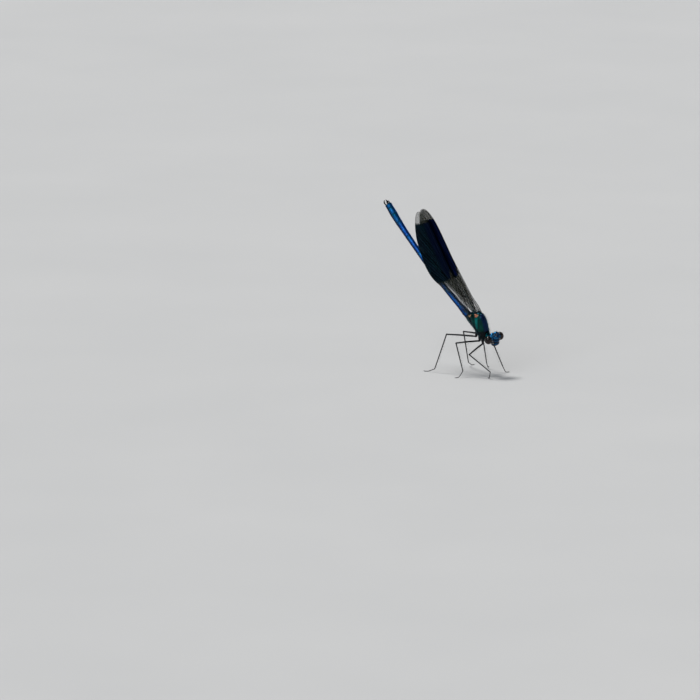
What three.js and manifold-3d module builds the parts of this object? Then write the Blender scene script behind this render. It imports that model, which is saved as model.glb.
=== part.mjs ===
// A male banded demoiselle damselfly at rest, life size, in millimetres.
// It heads along +X, its left side is +Y and it stands on the plane Z = 0.

import * as THREE from 'three';
import { mergeVertices } from 'three/addons/utils/BufferGeometryUtils.js';
import Module from 'manifold-3d';

const wasm = await Module();
wasm.setup();

// Driving dimensions

const JOINT_GAP = 0.06; // the thin cut between two neighbouring pieces
const BODY_PITCH = 38; // degrees that the trunk points nose down
const BODY_ROLL = 12; // degrees that the back leans to the right
const ABDOMEN_BASE_HEIGHT = 15.07;

const ABDOMEN_LENGTHS = [0.95, 2.35, 5.75, 6.05, 5.95, 5.25, 4.3, 2.5, 1.75, 1.1];
const ABDOMEN_RADII = [1.0, 0.92, 0.74, 0.68, 0.67, 0.7, 0.75, 0.88, 0.95, 0.88];
const SEGMENT_SHOULDER = 0.92; // share of the radius at the front rim of a segment
const ABDOMEN_FLARE = 0.05; // how far the rear rim of a segment stands out
const CERCUS_LENGTH = 1.35;
const CERCUS_RADII = [0.27, 0.2];
const PARAPROCT_LENGTH = 0.8;
const PARAPROCT_RADII = [0.26, 0.2];

const WING_THICKNESS = 0.5;
const WING_PITCH = 18; // degrees between the folded wings and the trunk
const FOREWING_LENGTH = 29.5;
const HINDWING_LENGTH = 28.8;
const FOREWING_WIDTH = 8.0;
const HINDWING_WIDTH = 8.25;

const HEAD_TURN = 11; // degrees to the right
const HEAD_NOD = 12;
const HEAD_TILT = 10; // degrees that the left eye stands higher
const EYE_RADII = [1.02, 0.95, 1.06];
const EYE_OFFSET = 1.84; // from the middle of the head to the middle of an eye
const ANTENNA_RADIUS = 0.25;
const NECK_RADIUS = 0.42;

const COXA_RADII = [0.52, 0.36];
const FEMUR_RADII = [0.32, 0.26];
const TIBIA_RADII = [0.26, 0.25];
const TARSUS_RADIUS = 0.25;
const TOE_HEIGHT = 0.22; // of the middle of a foot, so that its sole is a small flat

const ROUND_SIDES = 16;
const FACE_SIDES = 12;
const LEG_SIDES = 8;
const FEELER_SIDES = 6;

// Finishes

function finish(color, roughness, metalness) {
  return new THREE.MeshStandardMaterial({ color, roughness, metalness });
}

const ABDOMEN_BLUE = finish(0x0d4fa8, 0.3, 0.8);
const THORAX_GREEN = finish(0x06463f, 0.32, 0.8);
const HEAD_BLUE = finish(0x0b3f66, 0.32, 0.8);
const EYE_BROWN = finish(0x170d0b, 0.12, 0);
const LEG_BLACK = finish(0x0b0c10, 0.45, 0.1);
const WING_BAND = finish(0x060b1c, 0.35, 0.3);

// Geometry helpers

const radians = THREE.MathUtils.degToRad;
const lerp = THREE.MathUtils.lerp;

// Welds the vertices, drops triangles without area and turns the faces outwards.
function weld(geometry) {
  geometry.deleteAttribute('normal');
  geometry.deleteAttribute('uv');
  const welded = mergeVertices(geometry, 1e-4);
  const position = welded.getAttribute('position');
  const corners = [];
  let volume = 0;
  for (let i = 0; i < welded.index.count; i += 3) {
    const triangle = [0, 1, 2].map((k) => welded.index.getX(i + k));
    if (new Set(triangle).size < 3) continue;
    corners.push(...triangle);
    const [a, b, c] = triangle.map((k) => new THREE.Vector3().fromBufferAttribute(position, k));
    volume += a.dot(b.cross(c));
  }
  if (volume < 0) corners.reverse();
  welded.setIndex(corners);
  return welded;
}

const evenly = (steps) => Array.from({ length: steps + 1 }, (_, i) => i / steps);

// A closed body from a turned profile: place(t, angle, reach) gives the point at t along it.
// reach is 0 at both poles and 1 on the surface.
function turned(places, sides, place) {
  const surface = places.map((t) => new THREE.Vector2(1, t));
  const profile = [new THREE.Vector2(0, 0), ...surface, new THREE.Vector2(0, 1)];
  const geometry = new THREE.LatheGeometry(profile, sides);
  const position = geometry.getAttribute('position');
  for (let i = 0; i < position.count; i += 1) {
    const x = position.getX(i);
    const z = position.getZ(i);
    const reach = Math.round(Math.hypot(x, z));
    const point = place(position.getY(i), Math.atan2(z, x), reach);
    position.setXYZ(i, point.x, point.y, point.z);
  }
  return weld(geometry);
}

// A rod along a curve, with its radius given by radiusAt(t) at each of the places.
function rod(curve, radiusAt, places, sides, up = new THREE.Vector3(0, 1, 0)) {
  return turned(places, sides, (t, angle, reach) => {
    const tangent = curve.getTangentAt(t);
    const across = new THREE.Vector3().crossVectors(tangent, up).normalize();
    const above = new THREE.Vector3().crossVectors(across, tangent);
    const radius = reach * radiusAt(t);
    return curve.getPointAt(t)
      .addScaledVector(across, radius * Math.cos(angle))
      .addScaledVector(above, radius * Math.sin(angle));
  });
}

// An ellipsoid that can be grown on all sides.
function ellipsoid(radii, centre, grow = 0, sides = ROUND_SIDES) {
  const geometry = new THREE.SphereGeometry(1, sides, Math.round(sides * 0.6));
  geometry.scale(...radii.map((radius) => radius + grow));
  geometry.translate(...centre);
  return weld(geometry);
}

function toSolid(geometry) {
  const mesh = new wasm.Mesh({
    numProp: 3,
    vertProperties: new Float32Array(geometry.getAttribute('position').array),
    triVerts: new Uint32Array(geometry.index.array),
  });
  return new wasm.Manifold(mesh);
}

function toGeometry(solid) {
  const { vertProperties, triVerts } = solid.getMesh();
  const geometry = new THREE.BufferGeometry();
  geometry.setAttribute('position', new THREE.BufferAttribute(new Float32Array(vertProperties), 3));
  geometry.setIndex(Array.from(triVerts));
  return geometry;
}

function joined(...geometries) {
  return toGeometry(geometries.map(toSolid).reduce((sum, next) => sum.add(next)));
}

// Cuts the cutters away and keeps the largest piece that is left.
function cutBy(geometry, ...cutters) {
  const rest = cutters.map(toSolid).reduce((left, cutter) => left.subtract(cutter), toSolid(geometry));
  const pieces = rest.decompose().sort((a, b) => b.volume() - a.volume());
  return toGeometry(pieces[0]);
}

function addMesh(group, name, geometry, material) {
  const mesh = new THREE.Mesh(geometry, material);
  mesh.name = name;
  group.add(mesh);
  return mesh;
}

// The trunk group: x runs forwards from the base of the abdomen, y to the left, z to the back.

const damselfly = new THREE.Group();
const trunk = new THREE.Group();
trunk.position.z = ABDOMEN_BASE_HEIGHT;
trunk.rotation.set(radians(BODY_ROLL), radians(BODY_PITCH), 0, 'YXZ');
damselfly.add(trunk);
trunk.updateMatrixWorld();

// A point of the trunk's frame given in the frame of the ground.
const onGround = (x, y, z) => new THREE.Vector3(x, y, z).applyMatrix4(trunk.matrixWorld);

// Thorax: stations from the rear to the neck, each with its back point, belly point,
// half width and how sharp its ridge is (2 is an ellipse, less is a roof).

const THORAX_STATIONS = [
  { back: [0.12, 0.4], belly: [0.2, -1.7], half: 0.95, ridge: 2 },
  { back: [0.75, 1.25], belly: [1.2, -1.75], half: 1.3, ridge: 2.3 },
  { back: [1.9, 2.45], belly: [2.7, -1.85], half: 1.58, ridge: 2.2 },
  { back: [3.2, 3.2], belly: [4.2, -2.05], half: 1.7, ridge: 1.85 },
  { back: [4.4, 3.0], belly: [5.5, -2.35], half: 1.68, ridge: 1.65 },
  { back: [5.7, 2.05], belly: [6.8, -2.6], half: 1.45, ridge: 1.6 },
  { back: [6.85, 0.95], belly: [7.5, -2.35], half: 1.1, ridge: 1.8 },
];

const throughStations = (pick) => new THREE.CatmullRomCurve3(THORAX_STATIONS.map(pick));
const BACK_LINE = throughStations(({ back: [x, z] }) => new THREE.Vector3(x, 0, z));
const BELLY_LINE = throughStations(({ belly: [x, z] }) => new THREE.Vector3(x, 0, z));
const FORM_LINE = throughStations(({ half, ridge }, i) => new THREE.Vector3(i, half, ridge));
const BELLY_ROUNDNESS = 2.3;
const THORAX_STEPS = 14;

const power = (value, exponent) => Math.sign(value) * Math.abs(value) ** exponent;

function thoraxGeometry(grow = 0) {
  return turned(evenly(THORAX_STEPS), ROUND_SIDES, (t, angle, reach) => {
    const back = BACK_LINE.getPoint(t);
    const belly = BELLY_LINE.getPoint(t);
    const { y: half, z: ridge } = FORM_LINE.getPoint(t);
    const exponent = 2 / (Math.sin(angle) > 0 ? ridge : BELLY_ROUNDNESS);
    const height = back.distanceTo(belly) / 2 + grow;
    const point = back.clone().lerp(belly, 0.5);
    const rise = back.clone().sub(belly).normalize();
    point.addScaledVector(rise, reach * height * power(Math.sin(angle), exponent));
    point.y = reach * (half + grow) * power(Math.cos(angle), exponent);
    if (t === 0) point.x -= grow;
    if (t === 1) point.x += grow;
    return point;
  });
}

// Abdomen: one curve for all ten segments, slightly raised towards the tip.

const SEGMENT_PLACES = [0, 0.06, 0.5, 0.86, 1];

const ABDOMEN_CURVE = new THREE.CatmullRomCurve3([
  new THREE.Vector3(0.06, 0, -0.78),
  new THREE.Vector3(-3, 0, -0.84),
  new THREE.Vector3(-6.5, 0, -0.76),
  new THREE.Vector3(-10.2, 0, -0.62),
  new THREE.Vector3(-14.5, 0, -0.22),
  new THREE.Vector3(-18.5, 0, 0.22),
  new THREE.Vector3(-22.5, 0, 0.85),
  new THREE.Vector3(-27, 0, 1.62),
  new THREE.Vector3(-31, 0, 2.42),
  new THREE.Vector3(-34, 0, 3.2),
  new THREE.Vector3(-36.3, 0, 3.85),
]);

// The stretch of a curve between two arc lengths, as a curve of its own.
function stretch(curve, from, to, points = 6) {
  const total = curve.getLength();
  const places = Array.from({ length: points }, (_, i) => lerp(from, to, i / (points - 1)) / total);
  return new THREE.CatmullRomCurve3(places.map((place) => curve.getPointAt(Math.min(place, 1))));
}

function addAbdomen() {
  let start = 0;
  ABDOMEN_LENGTHS.forEach((length, i) => {
    const curve = stretch(ABDOMEN_CURVE, start + JOINT_GAP, start + length);
    const front = ABDOMEN_RADII[i];
    const rear = ABDOMEN_RADII[i + 1] ?? front;
    const radiusAt = (t) => {
      const shoulder = t === 0 ? SEGMENT_SHOULDER : 1;
      const flare = ABDOMEN_FLARE * THREE.MathUtils.smoothstep(t, 0.8, 1);
      return lerp(front, rear, t * t) * shoulder + flare;
    };
    addMesh(trunk, `abdomen_${i + 1}`, rod(curve, radiusAt, SEGMENT_PLACES, ROUND_SIDES), ABDOMEN_BLUE);
    start += length;
  });
  return start;
}

// The callipers at the tip of the abdomen and the two small claspers under them.
function addAppendages(tipStart) {
  const tip = ABDOMEN_CURVE.getPointAt(Math.min(tipStart / ABDOMEN_CURVE.getLength(), 1));
  const along = ABDOMEN_CURVE.getTangentAt(1);
  const above = new THREE.Vector3(along.z, 0, -along.x);
  const at = (forward, side, up) => tip.clone()
    .addScaledVector(along, forward)
    .addScaledVector(above, up)
    .add(new THREE.Vector3(0, side, 0));
  const pairs = [['left', 1], ['right', -1]];
  for (const [side, sign] of pairs) {
    const cercus = new THREE.CatmullRomCurve3([
      at(JOINT_GAP, sign * 0.36, 0.36),
      at(CERCUS_LENGTH * 0.45, sign * 0.62, 0.4),
      at(CERCUS_LENGTH * 0.85, sign * 0.56, 0.34),
      at(CERCUS_LENGTH, sign * 0.34, 0.28),
    ]);
    const cercusRod = rod(cercus, (t) => lerp(...CERCUS_RADII, t), evenly(5), LEG_SIDES);
    addMesh(trunk, `cercus_${side}`, cercusRod, LEG_BLACK);
    const paraproct = new THREE.CatmullRomCurve3([
      at(JOINT_GAP, sign * 0.32, -0.32),
      at(PARAPROCT_LENGTH * 0.5, sign * 0.34, -0.34),
      at(PARAPROCT_LENGTH, sign * 0.3, -0.26),
    ]);
    const paraproctRod = rod(paraproct, (t) => lerp(...PARAPROCT_RADII, t), evenly(3), LEG_SIDES);
    addMesh(trunk, `paraproct_${side}`, paraproctRod, LEG_BLACK);
  }
}

// Wings: s runs from the root to the tip and c from the trailing edge to the front edge.

const smooth = (points) => {
  const curve = new THREE.CatmullRomCurve3(points.map(([x, y]) => new THREE.Vector3(x, y, 0)));
  const samples = curve.getPoints(200);
  return (x) => {
    const next = samples.findIndex((sample) => sample.x >= x);
    if (next <= 0) return samples[next < 0 ? samples.length - 1 : 0].y;
    const [a, b] = [samples[next - 1], samples[next]];
    return lerp(a.y, b.y, (x - a.x) / (b.x - a.x));
  };
};

// The two edges along a wing, as shares of its length and its greatest width.
const FRONT_EDGE = smooth([
  [0, 0.02], [0.17, 0.06], [0.35, 0.08], [0.5, 0.1], [0.65, 0.165],
  [0.79, 0.22], [0.88, 0.215], [0.94, 0.165], [0.975, 0.1], [1, -0.04],
]);
const REAR_EDGE = smooth([
  [0, -0.07], [0.05, -0.15], [0.1, -0.22], [0.2, -0.37], [0.3, -0.55], [0.4, -0.75],
  [0.47, -0.84], [0.55, -0.86], [0.6, -0.84], [0.7, -0.76], [0.8, -0.64], [0.9, -0.46],
  [0.95, -0.33], [0.98, -0.22], [1, -0.07],
]);

// side is 1 on the left; lateral(share) gives the distance of the sheet from the middle plane.
function wingGeometry({ root, pitch, length, width, side, lateral }) {
  const along = new THREE.Vector3(-Math.cos(radians(pitch)), 0, Math.sin(radians(pitch)));
  const across = new THREE.Vector3(Math.sin(radians(pitch)), 0, Math.cos(radians(pitch)));
  const geometry = new THREE.BoxGeometry(1, 1, 1, 24, 1, 1);
  const position = geometry.getAttribute('position');
  for (let i = 0; i < position.count; i += 1) {
    const u = position.getX(i) + 0.5;
    const share = Math.sin((u * Math.PI) / 2) ** 1.2;
    const c = width * lerp(REAR_EDGE(share), FRONT_EDGE(share), position.getY(i) + 0.5);
    const point = new THREE.Vector3(...root)
      .addScaledVector(along, share * length)
      .addScaledVector(across, c);
    point.y = side * (lateral(share) + position.getZ(i) * WING_THICKNESS);
    position.setXYZ(i, point.x, point.y, point.z);
  }
  return weld(geometry);
}

const WING_ROOTS = { forewing: [2.1, 0, 2.85], hindwing: [0.85, 0, 1.15] };
const HINDWING_DROP = 1.2; // degrees more between a hindwing and the trunk
const FOREWING_SHEET = 0.34; // distance of a folded forewing from the middle plane
const HINDWING_SHEET = 1.06; // the hindwings fold outside the forewings and the abdomen
const FOREWING_ROOT_SIDE = 0.8;
const HINDWING_ROOT_SIDE = 1.2;
const SETTLED_SHARE = 0.16; // where a wing has reached its distance from the middle plane

function addWings() {
  const settle = (rootSide, sheet) => (share) => {
    const settled = THREE.MathUtils.smoothstep(share, 0, SETTLED_SHARE);
    return lerp(rootSide, sheet, settled);
  };
  for (const [name, side] of [['left', 1], ['right', -1]]) {
    const forewing = wingGeometry({
      root: WING_ROOTS.forewing,
      pitch: WING_PITCH,
      length: FOREWING_LENGTH,
      width: FOREWING_WIDTH,
      side,
      lateral: settle(FOREWING_ROOT_SIDE, FOREWING_SHEET),
    });
    const hindwing = wingGeometry({
      root: WING_ROOTS.hindwing,
      pitch: WING_PITCH + HINDWING_DROP,
      length: HINDWING_LENGTH,
      width: HINDWING_WIDTH,
      side,
      lateral: settle(HINDWING_ROOT_SIDE, HINDWING_SHEET),
    });
    addMesh(trunk, `forewing_${name}`, cutBy(forewing, thoraxGeometry(JOINT_GAP)), WING_BAND);
    addMesh(trunk, `hindwing_${name}`, cutBy(hindwing, thoraxGeometry(JOINT_GAP)), WING_BAND);
  }
}

// Prothorax and neck

const PROTHORAX = { centre: [7.75, 0, -0.75], radii: [0.62, 1.02, 1.05] };
const NECK_START = new THREE.Vector3(7.95, 0, -0.4);
const NECK_END = new THREE.Vector3(9.45, 0, 0.6);
const HEAD_CENTRE = [9.63, 0, 0.72];

function prothoraxGeometry(grow = 0) {
  return ellipsoid(PROTHORAX.radii, PROTHORAX.centre, grow, FACE_SIDES);
}

// Head: x runs out of the face, y to the left eye and z to the crown.

const head = new THREE.Group();
head.position.copy(onGround(...HEAD_CENTRE));
head.rotation.set(radians(HEAD_TILT), radians(HEAD_NOD), radians(-HEAD_TURN), 'ZYX');
damselfly.add(head);
head.updateMatrixWorld();

const eyeGeometry = (side, grow = 0) => ellipsoid(EYE_RADII, [0, side * EYE_OFFSET, 0.1], grow);

const CLYPEUS = { radii: [0.52, 0.8, 0.44], centre: [0.94, 0, -0.3] };
const LABRUM = { radii: [0.42, 0.74, 0.5], centre: [0.84, 0, -1.12] };
const MANDIBLE = { radii: [0.46, 0.36, 0.62], centre: [0.5, 0.88, -1.05] };
const LABIUM = { radii: [0.74, 0.72, 0.42], centre: [0.1, 0, -1.62] };
const SKULL_CLEARANCE = 1.03;

const faceGeometry = ({ radii, centre }, grow = 0) => ellipsoid(radii, centre, grow, FACE_SIDES);

function skullGeometry() {
  const crown = ellipsoid([0.98, 1.75, 1.12], [-0.05, 0, 0.2]);
  const cheeks = ellipsoid([0.86, 1.25, 1.2], [-0.05, 0, -0.5], 0, FACE_SIDES);
  const brow = ellipsoid([0.6, 0.86, 0.6], [0.72, 0, 0.36], 0, FACE_SIDES);
  const sockets = [eyeGeometry(1, JOINT_GAP), eyeGeometry(-1, JOINT_GAP)];
  return cutBy(joined(crown, cheeks, brow), ...sockets, faceGeometry(CLYPEUS, JOINT_GAP));
}

function feelerGeometry(side) {
  const line = new THREE.CatmullRomCurve3([
    new THREE.Vector3(0.5, side * 0.78, 0.66),
    new THREE.Vector3(1.05, side * 0.92, 1.15),
    new THREE.Vector3(1.65, side * 1.12, 1.75),
    new THREE.Vector3(2.2, side * 1.4, 2.25),
  ]);
  return rod(line, () => ANTENNA_RADIUS, evenly(4), FEELER_SIDES, new THREE.Vector3(0, 1, 0));
}

function addHead() {
  const skull = skullGeometry();
  const skullCutter = skull.clone().scale(SKULL_CLEARANCE, SKULL_CLEARANCE, SKULL_CLEARANCE);
  const clypeusCutter = faceGeometry(CLYPEUS, JOINT_GAP);
  const labrumCutter = faceGeometry(LABRUM, JOINT_GAP);
  const labiumCutter = faceGeometry(LABIUM, JOINT_GAP);
  addMesh(head, 'head', skull, HEAD_BLUE);
  addMesh(head, 'clypeus', faceGeometry(CLYPEUS), HEAD_BLUE);
  addMesh(head, 'labrum', cutBy(faceGeometry(LABRUM), skullCutter, clypeusCutter), HEAD_BLUE);
  addMesh(head, 'labium', cutBy(faceGeometry(LABIUM), skullCutter, labrumCutter), LEG_BLACK);
  for (const [name, side] of [['left', 1], ['right', -1]]) {
    const eyeCutter = eyeGeometry(side, JOINT_GAP);
    const [x, y, z] = MANDIBLE.centre;
    const jaw = faceGeometry({ radii: MANDIBLE.radii, centre: [x, side * y, z] });
    const mandible = cutBy(jaw, skullCutter, clypeusCutter, labrumCutter, labiumCutter, eyeCutter);
    addMesh(head, `mandible_${name}`, mandible, HEAD_BLUE);
    addMesh(head, `eye_${name}`, eyeGeometry(side), EYE_BROWN);
    addMesh(head, `antenna_${name}`, cutBy(feelerGeometry(side), skullCutter, eyeCutter), LEG_BLACK);
  }
  addNeck(skullCutter);
}

// The neck joins the prothorax to the turned head, so it is made in the frame of the ground.
function addNeck(skullCutter) {
  const [start, end] = [NECK_START, NECK_END].map(({ x, y, z }) => onGround(x, y, z));
  const line = new THREE.LineCurve3(start, end);
  const whole = rod(line, () => NECK_RADIUS, [0, 1], FACE_SIDES);
  const headCutter = skullCutter.clone().applyMatrix4(head.matrixWorld);
  const prothoraxCutter = prothoraxGeometry(JOINT_GAP).applyMatrix4(trunk.matrixWorld);
  addMesh(damselfly, 'neck', cutBy(whole, headCutter, prothoraxCutter), THORAX_GREEN);
}

// Legs: the hip is in the trunk's frame, the knee, ankle and toe are in the frame of the ground.

const HIPS = {
  fore: { socket: [7.0, 0.5, -1.9], hip: [7.85, 0.62, -2.95] },
  mid: { socket: [6.2, 0.7, -1.9], hip: [6.75, 0.85, -3.0] },
  hind: { socket: [4.9, 0.75, -1.7], hip: [5.35, 0.95, -2.75] },
};
const COXA_OVERRUN = 0.3; // how far a limb runs past its far joint
const FEMUR_OVERRUN = 0.2;
const TIBIA_OVERRUN = 0.12;
const TOE_LENGTH = 0.6;
const LEGS = [
  { name: 'fore_right', knee: [3.15, -3.95, 5.5], ankle: [9.53, -3.5, 1.86], toe: [8.8, -3.0] },
  { name: 'mid_right', knee: [0.02, -5.35, 8.25], ankle: [2.95, -6.2, 1.65], toe: [2.3, -7.4] },
  { name: 'hind_right', knee: [-3.6, -4.65, 9.9], ankle: [-6.3, -6.0, 0.89], toe: [-8.5, -6.6] },
  { name: 'fore_left', knee: [3.8, 4.6, 7.42], ankle: [6.84, 4.8, 1.67], toe: [7.5, 5.5] },
  { name: 'mid_left', knee: [0.12, 5.1, 8.5], ankle: [0.77, 6.0, 1.4], toe: [0.2, 7.3] },
  { name: 'hind_left', knee: [-4.0, 2.6, 9.4], ankle: [-4.3, 5.0, 1.05], toe: [-4.4, 6.9] },
];

const LIMB_PLACES = [0, 0.02, 0.96, 1];
const LIMB_END = 0.7; // share of the radius at a limb's two rounded ends
const OBLIQUE = new THREE.Vector3(0.3, 0.2, 1); // never in line with a limb

// A straight limb with rounded ends, which runs a little past its far joint.
function limb(from, to, radii, past, grow = 0) {
  const direction = to.clone().sub(from).normalize();
  const end = to.clone().addScaledVector(direction, past + grow);
  const start = from.clone().addScaledVector(direction, -grow);
  const radiusAt = (t) => (lerp(...radii, t) + grow) * (t === 0 || t === 1 ? LIMB_END : 1);
  return rod(new THREE.LineCurve3(start, end), radiusAt, LIMB_PLACES, LEG_SIDES, OBLIQUE);
}

// Presses everything below the ground flat, which leaves a small flat sole.
function planted(geometry) {
  const position = geometry.getAttribute('position');
  for (let i = 0; i < position.count; i += 1) position.setZ(i, Math.max(position.getZ(i), 0));
  return geometry;
}

// The foot drops from the ankle and then lies on the ground.
function footGeometry(ankle, toe) {
  const outwards = toe.clone().sub(ankle).setZ(0).normalize();
  const line = new THREE.CatmullRomCurve3([
    ankle,
    ankle.clone().lerp(toe, 0.7).setZ(lerp(ankle.z, toe.z, 0.82)),
    toe,
    toe.clone().addScaledVector(outwards, TOE_LENGTH),
  ]);
  return planted(rod(line, () => TARSUS_RADIUS, evenly(5), LEG_SIDES, new THREE.Vector3(0, 0, 1)));
}

function addLeg({ name, ...places }) {
  const [pair, sideName] = name.split('_');
  const side = sideName === 'left' ? 1 : -1;
  const { socket, hip } = HIPS[pair];
  const [start, root] = [socket, hip].map(([x, y, z]) => onGround(x, side * y, z));
  const knee = new THREE.Vector3(...places.knee);
  const ankle = new THREE.Vector3(...places.ankle);
  const toe = new THREE.Vector3(...places.toe, TOE_HEIGHT);
  const thoraxCutter = thoraxGeometry(JOINT_GAP).applyMatrix4(trunk.matrixWorld);
  const coxa = (grow) => limb(start, root, COXA_RADII, COXA_OVERRUN, grow);
  const femur = (grow) => limb(root, knee, FEMUR_RADII, FEMUR_OVERRUN, grow);
  const tibia = (grow) => limb(knee, ankle, TIBIA_RADII, TIBIA_OVERRUN, grow);
  addMesh(damselfly, `coxa_${name}`, cutBy(coxa(0), thoraxCutter), LEG_BLACK);
  addMesh(damselfly, `femur_${name}`, cutBy(femur(0), coxa(JOINT_GAP), thoraxCutter), LEG_BLACK);
  addMesh(damselfly, `tibia_${name}`, cutBy(tibia(0), femur(JOINT_GAP)), LEG_BLACK);
  addMesh(damselfly, `tarsus_${name}`, cutBy(footGeometry(ankle, toe), tibia(JOINT_GAP)), LEG_BLACK);
}

// Assembly

addMesh(trunk, 'thorax', thoraxGeometry(), THORAX_GREEN);
addMesh(trunk, 'prothorax', cutBy(prothoraxGeometry(), thoraxGeometry(JOINT_GAP)), THORAX_GREEN);
addHead();
addAppendages(addAbdomen());
addWings();
LEGS.forEach(addLeg);

const box = new THREE.Box3().setFromObject(damselfly, true);
const centre = box.getCenter(new THREE.Vector3());
damselfly.position.set(-centre.x, -centre.y, 0);

export default damselfly;
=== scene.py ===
"""The looks of a male banded demoiselle damselfly at rest, life size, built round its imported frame."""

import bisect
import math
import random

import bmesh
import bpy
from mathutils import Matrix, Vector, noise
from mathutils.bvhtree import BVHTree


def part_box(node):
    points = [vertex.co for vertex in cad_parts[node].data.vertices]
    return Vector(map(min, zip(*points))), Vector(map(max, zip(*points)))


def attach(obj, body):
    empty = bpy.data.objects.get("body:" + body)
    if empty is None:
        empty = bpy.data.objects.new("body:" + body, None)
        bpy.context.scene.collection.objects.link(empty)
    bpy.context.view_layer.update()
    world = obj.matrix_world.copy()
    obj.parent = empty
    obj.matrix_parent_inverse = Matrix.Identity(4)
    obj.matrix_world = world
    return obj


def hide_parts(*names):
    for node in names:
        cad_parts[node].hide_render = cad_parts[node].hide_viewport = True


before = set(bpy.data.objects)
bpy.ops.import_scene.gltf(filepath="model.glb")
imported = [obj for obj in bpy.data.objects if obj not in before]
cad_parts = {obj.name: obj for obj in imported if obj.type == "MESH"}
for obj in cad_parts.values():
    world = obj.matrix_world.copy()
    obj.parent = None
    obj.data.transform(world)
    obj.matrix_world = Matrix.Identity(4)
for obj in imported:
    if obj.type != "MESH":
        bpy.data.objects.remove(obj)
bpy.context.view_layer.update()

# Sizes in millimetres and angles in degrees, as the solids have them

MM = 0.001
BODY_PITCH, BODY_ROLL = 38, 12
ABDOMEN_BASE = (0, 0, 15.07)
HEAD_CENTRE = (9.63, 0, 0.72)
HEAD_TURN, HEAD_NOD, HEAD_TILT = 11, 12, 10
EYE_OFFSET, EYE_RISE = 1.84, 0.1
EYE_RADII = (1.02, 0.95, 1.06)
SIDES = {"left": 1, "right": -1}


def turn(axis, degrees):
    return Matrix.Rotation(math.radians(degrees), 4, axis)


def middle(node):
    low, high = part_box(node)
    return (low + high) / 2


# Places: each matrix takes a piece from its own frame in millimetres to the model's frame in metres.
# TRUNK has x forwards, y to the left and z to the back; HEAD has x out of the face and z to the crown.

trunk_turn = Matrix.Translation(ABDOMEN_BASE) @ turn("Y", BODY_PITCH) @ turn("X", BODY_ROLL)
head_turn = Matrix.Translation(trunk_turn @ Vector(HEAD_CENTRE))
head_turn = head_turn @ turn("Z", -HEAD_TURN) @ turn("Y", HEAD_NOD) @ turn("X", HEAD_TILT)
eye_place = head_turn @ Vector((0, EYE_OFFSET, EYE_RISE))
GROUND = Matrix.Translation(middle("eye_left") - eye_place * MM) @ Matrix.Scale(MM, 4)
TRUNK = GROUND @ trunk_turn
HEAD = GROUND @ head_turn


# Lines and graphs


def lerp(a, b, t):
    return a + (b - a) * t


def ease(t):
    t = min(max(t, 0), 1)
    return t * t * (3 - 2 * t)


def bump(x, width):
    """1 at the middle, falling smoothly to 0 within a few widths."""
    return math.exp(-((x / width) ** 2))


def graph(points):
    """A smooth y over x through the points, which goes straight on past both ends."""
    xs = [p[0] for p in points]
    ys = [p[1] for p in points]
    last = len(xs) - 1
    slopes = []
    for i in range(last + 1):
        a, b = max(i - 1, 0), min(i + 1, last)
        slopes.append((ys[b] - ys[a]) / (xs[b] - xs[a]))

    def height(x):
        if x <= xs[0]:
            return ys[0] + slopes[0] * (x - xs[0])
        if x >= xs[last]:
            return ys[last] + slopes[last] * (x - xs[last])
        i = bisect.bisect_right(xs, x) - 1
        span = xs[i + 1] - xs[i]
        t = (x - xs[i]) / span
        rise = (slopes[i] * (1 - t) ** 2 * t - slopes[i + 1] * (1 - t) * t * t) * span
        return lerp(ys[i], ys[i + 1], ease(t)) + rise

    return height


class Path:
    """A smooth line through points, followed by its length in millimetres."""

    def __init__(self, points, up=(0, 0, 1)):
        points = [Vector(p) for p in points]
        knots = [0.0]
        for a, b in zip(points, points[1:]):
            knots.append(knots[-1] + (b - a).length)
        self.parts = [graph([(k, p[axis]) for k, p in zip(knots, points)]) for axis in range(3)]
        self.length = knots[-1]
        self.up = Vector(up)

    def at(self, distance):
        return Vector([part(distance) for part in self.parts])

    def axes(self, distance):
        along = (self.at(distance + 0.01) - self.at(distance - 0.01)).normalized()
        side = self.up.cross(along).normalized()
        return self.at(distance), along, side, along.cross(side)


# Shapes, in millimetres

WELD = 1e-4  # points nearer than this become one
END_BULGE = 0.6  # how far a rod's end rounds out, in radii


def lathe(profile, sides):
    """A closed body turned about X from a list of (x, radius) that starts and ends on the axis."""
    bm = bmesh.new()
    points = [bm.verts.new((x, 0, radius)) for x, radius in profile]
    lines = [bm.edges.new(pair) for pair in zip(points, points[1:])]
    bmesh.ops.spin(bm, geom=points + lines, cent=(0, 0, 0), axis=(1, 0, 0), angle=math.tau, steps=sides,
                   use_merge=True)
    bmesh.ops.remove_doubles(bm, verts=bm.verts, dist=WELD)
    bmesh.ops.recalc_face_normals(bm, faces=bm.faces)
    return bm


def follow(bm, path):
    """Bends a body that lies along X so that it follows a path."""
    known = {}
    for v in bm.verts:
        key = round(v.co.x, 4)
        if key not in known:
            known[key] = path.axes(v.co.x)
        point, along, side, above = known[key]
        v.co = point + side * v.co.y + above * v.co.z
    return bm


def rod(path, radius_at, sides, step):
    """A rod with rounded ends along a path; radius_at takes the share of its length."""
    count = max(4, round(path.length / step))
    first, last = radius_at(0), radius_at(1)
    rounding = ((0.3, 0.92), (0.8, 0.6), (1, 0))
    profile = [(-out * END_BULGE * first, share * first) for out, share in reversed(rounding)]
    profile += [(path.length * i / count, radius_at(i / count)) for i in range(count + 1)]
    profile += [(path.length + out * END_BULGE * last, share * last) for out, share in rounding]
    return follow(lathe(profile, sides), path)


def ball(bm, centre, radii, turned=Matrix.Identity(4), detail=24):
    """Adds an ellipsoid."""
    place = Matrix.Translation(centre) @ turned @ Matrix.Diagonal((*radii, 1))
    bmesh.ops.create_uvsphere(bm, u_segments=detail, v_segments=detail // 2 + 2, radius=1, matrix=place)


def both(centre, radii):
    """The specs of a ball on the left and its twin on the right."""
    x, y, z = centre
    return (centre, radii), ((x, -y, z), radii)


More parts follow.
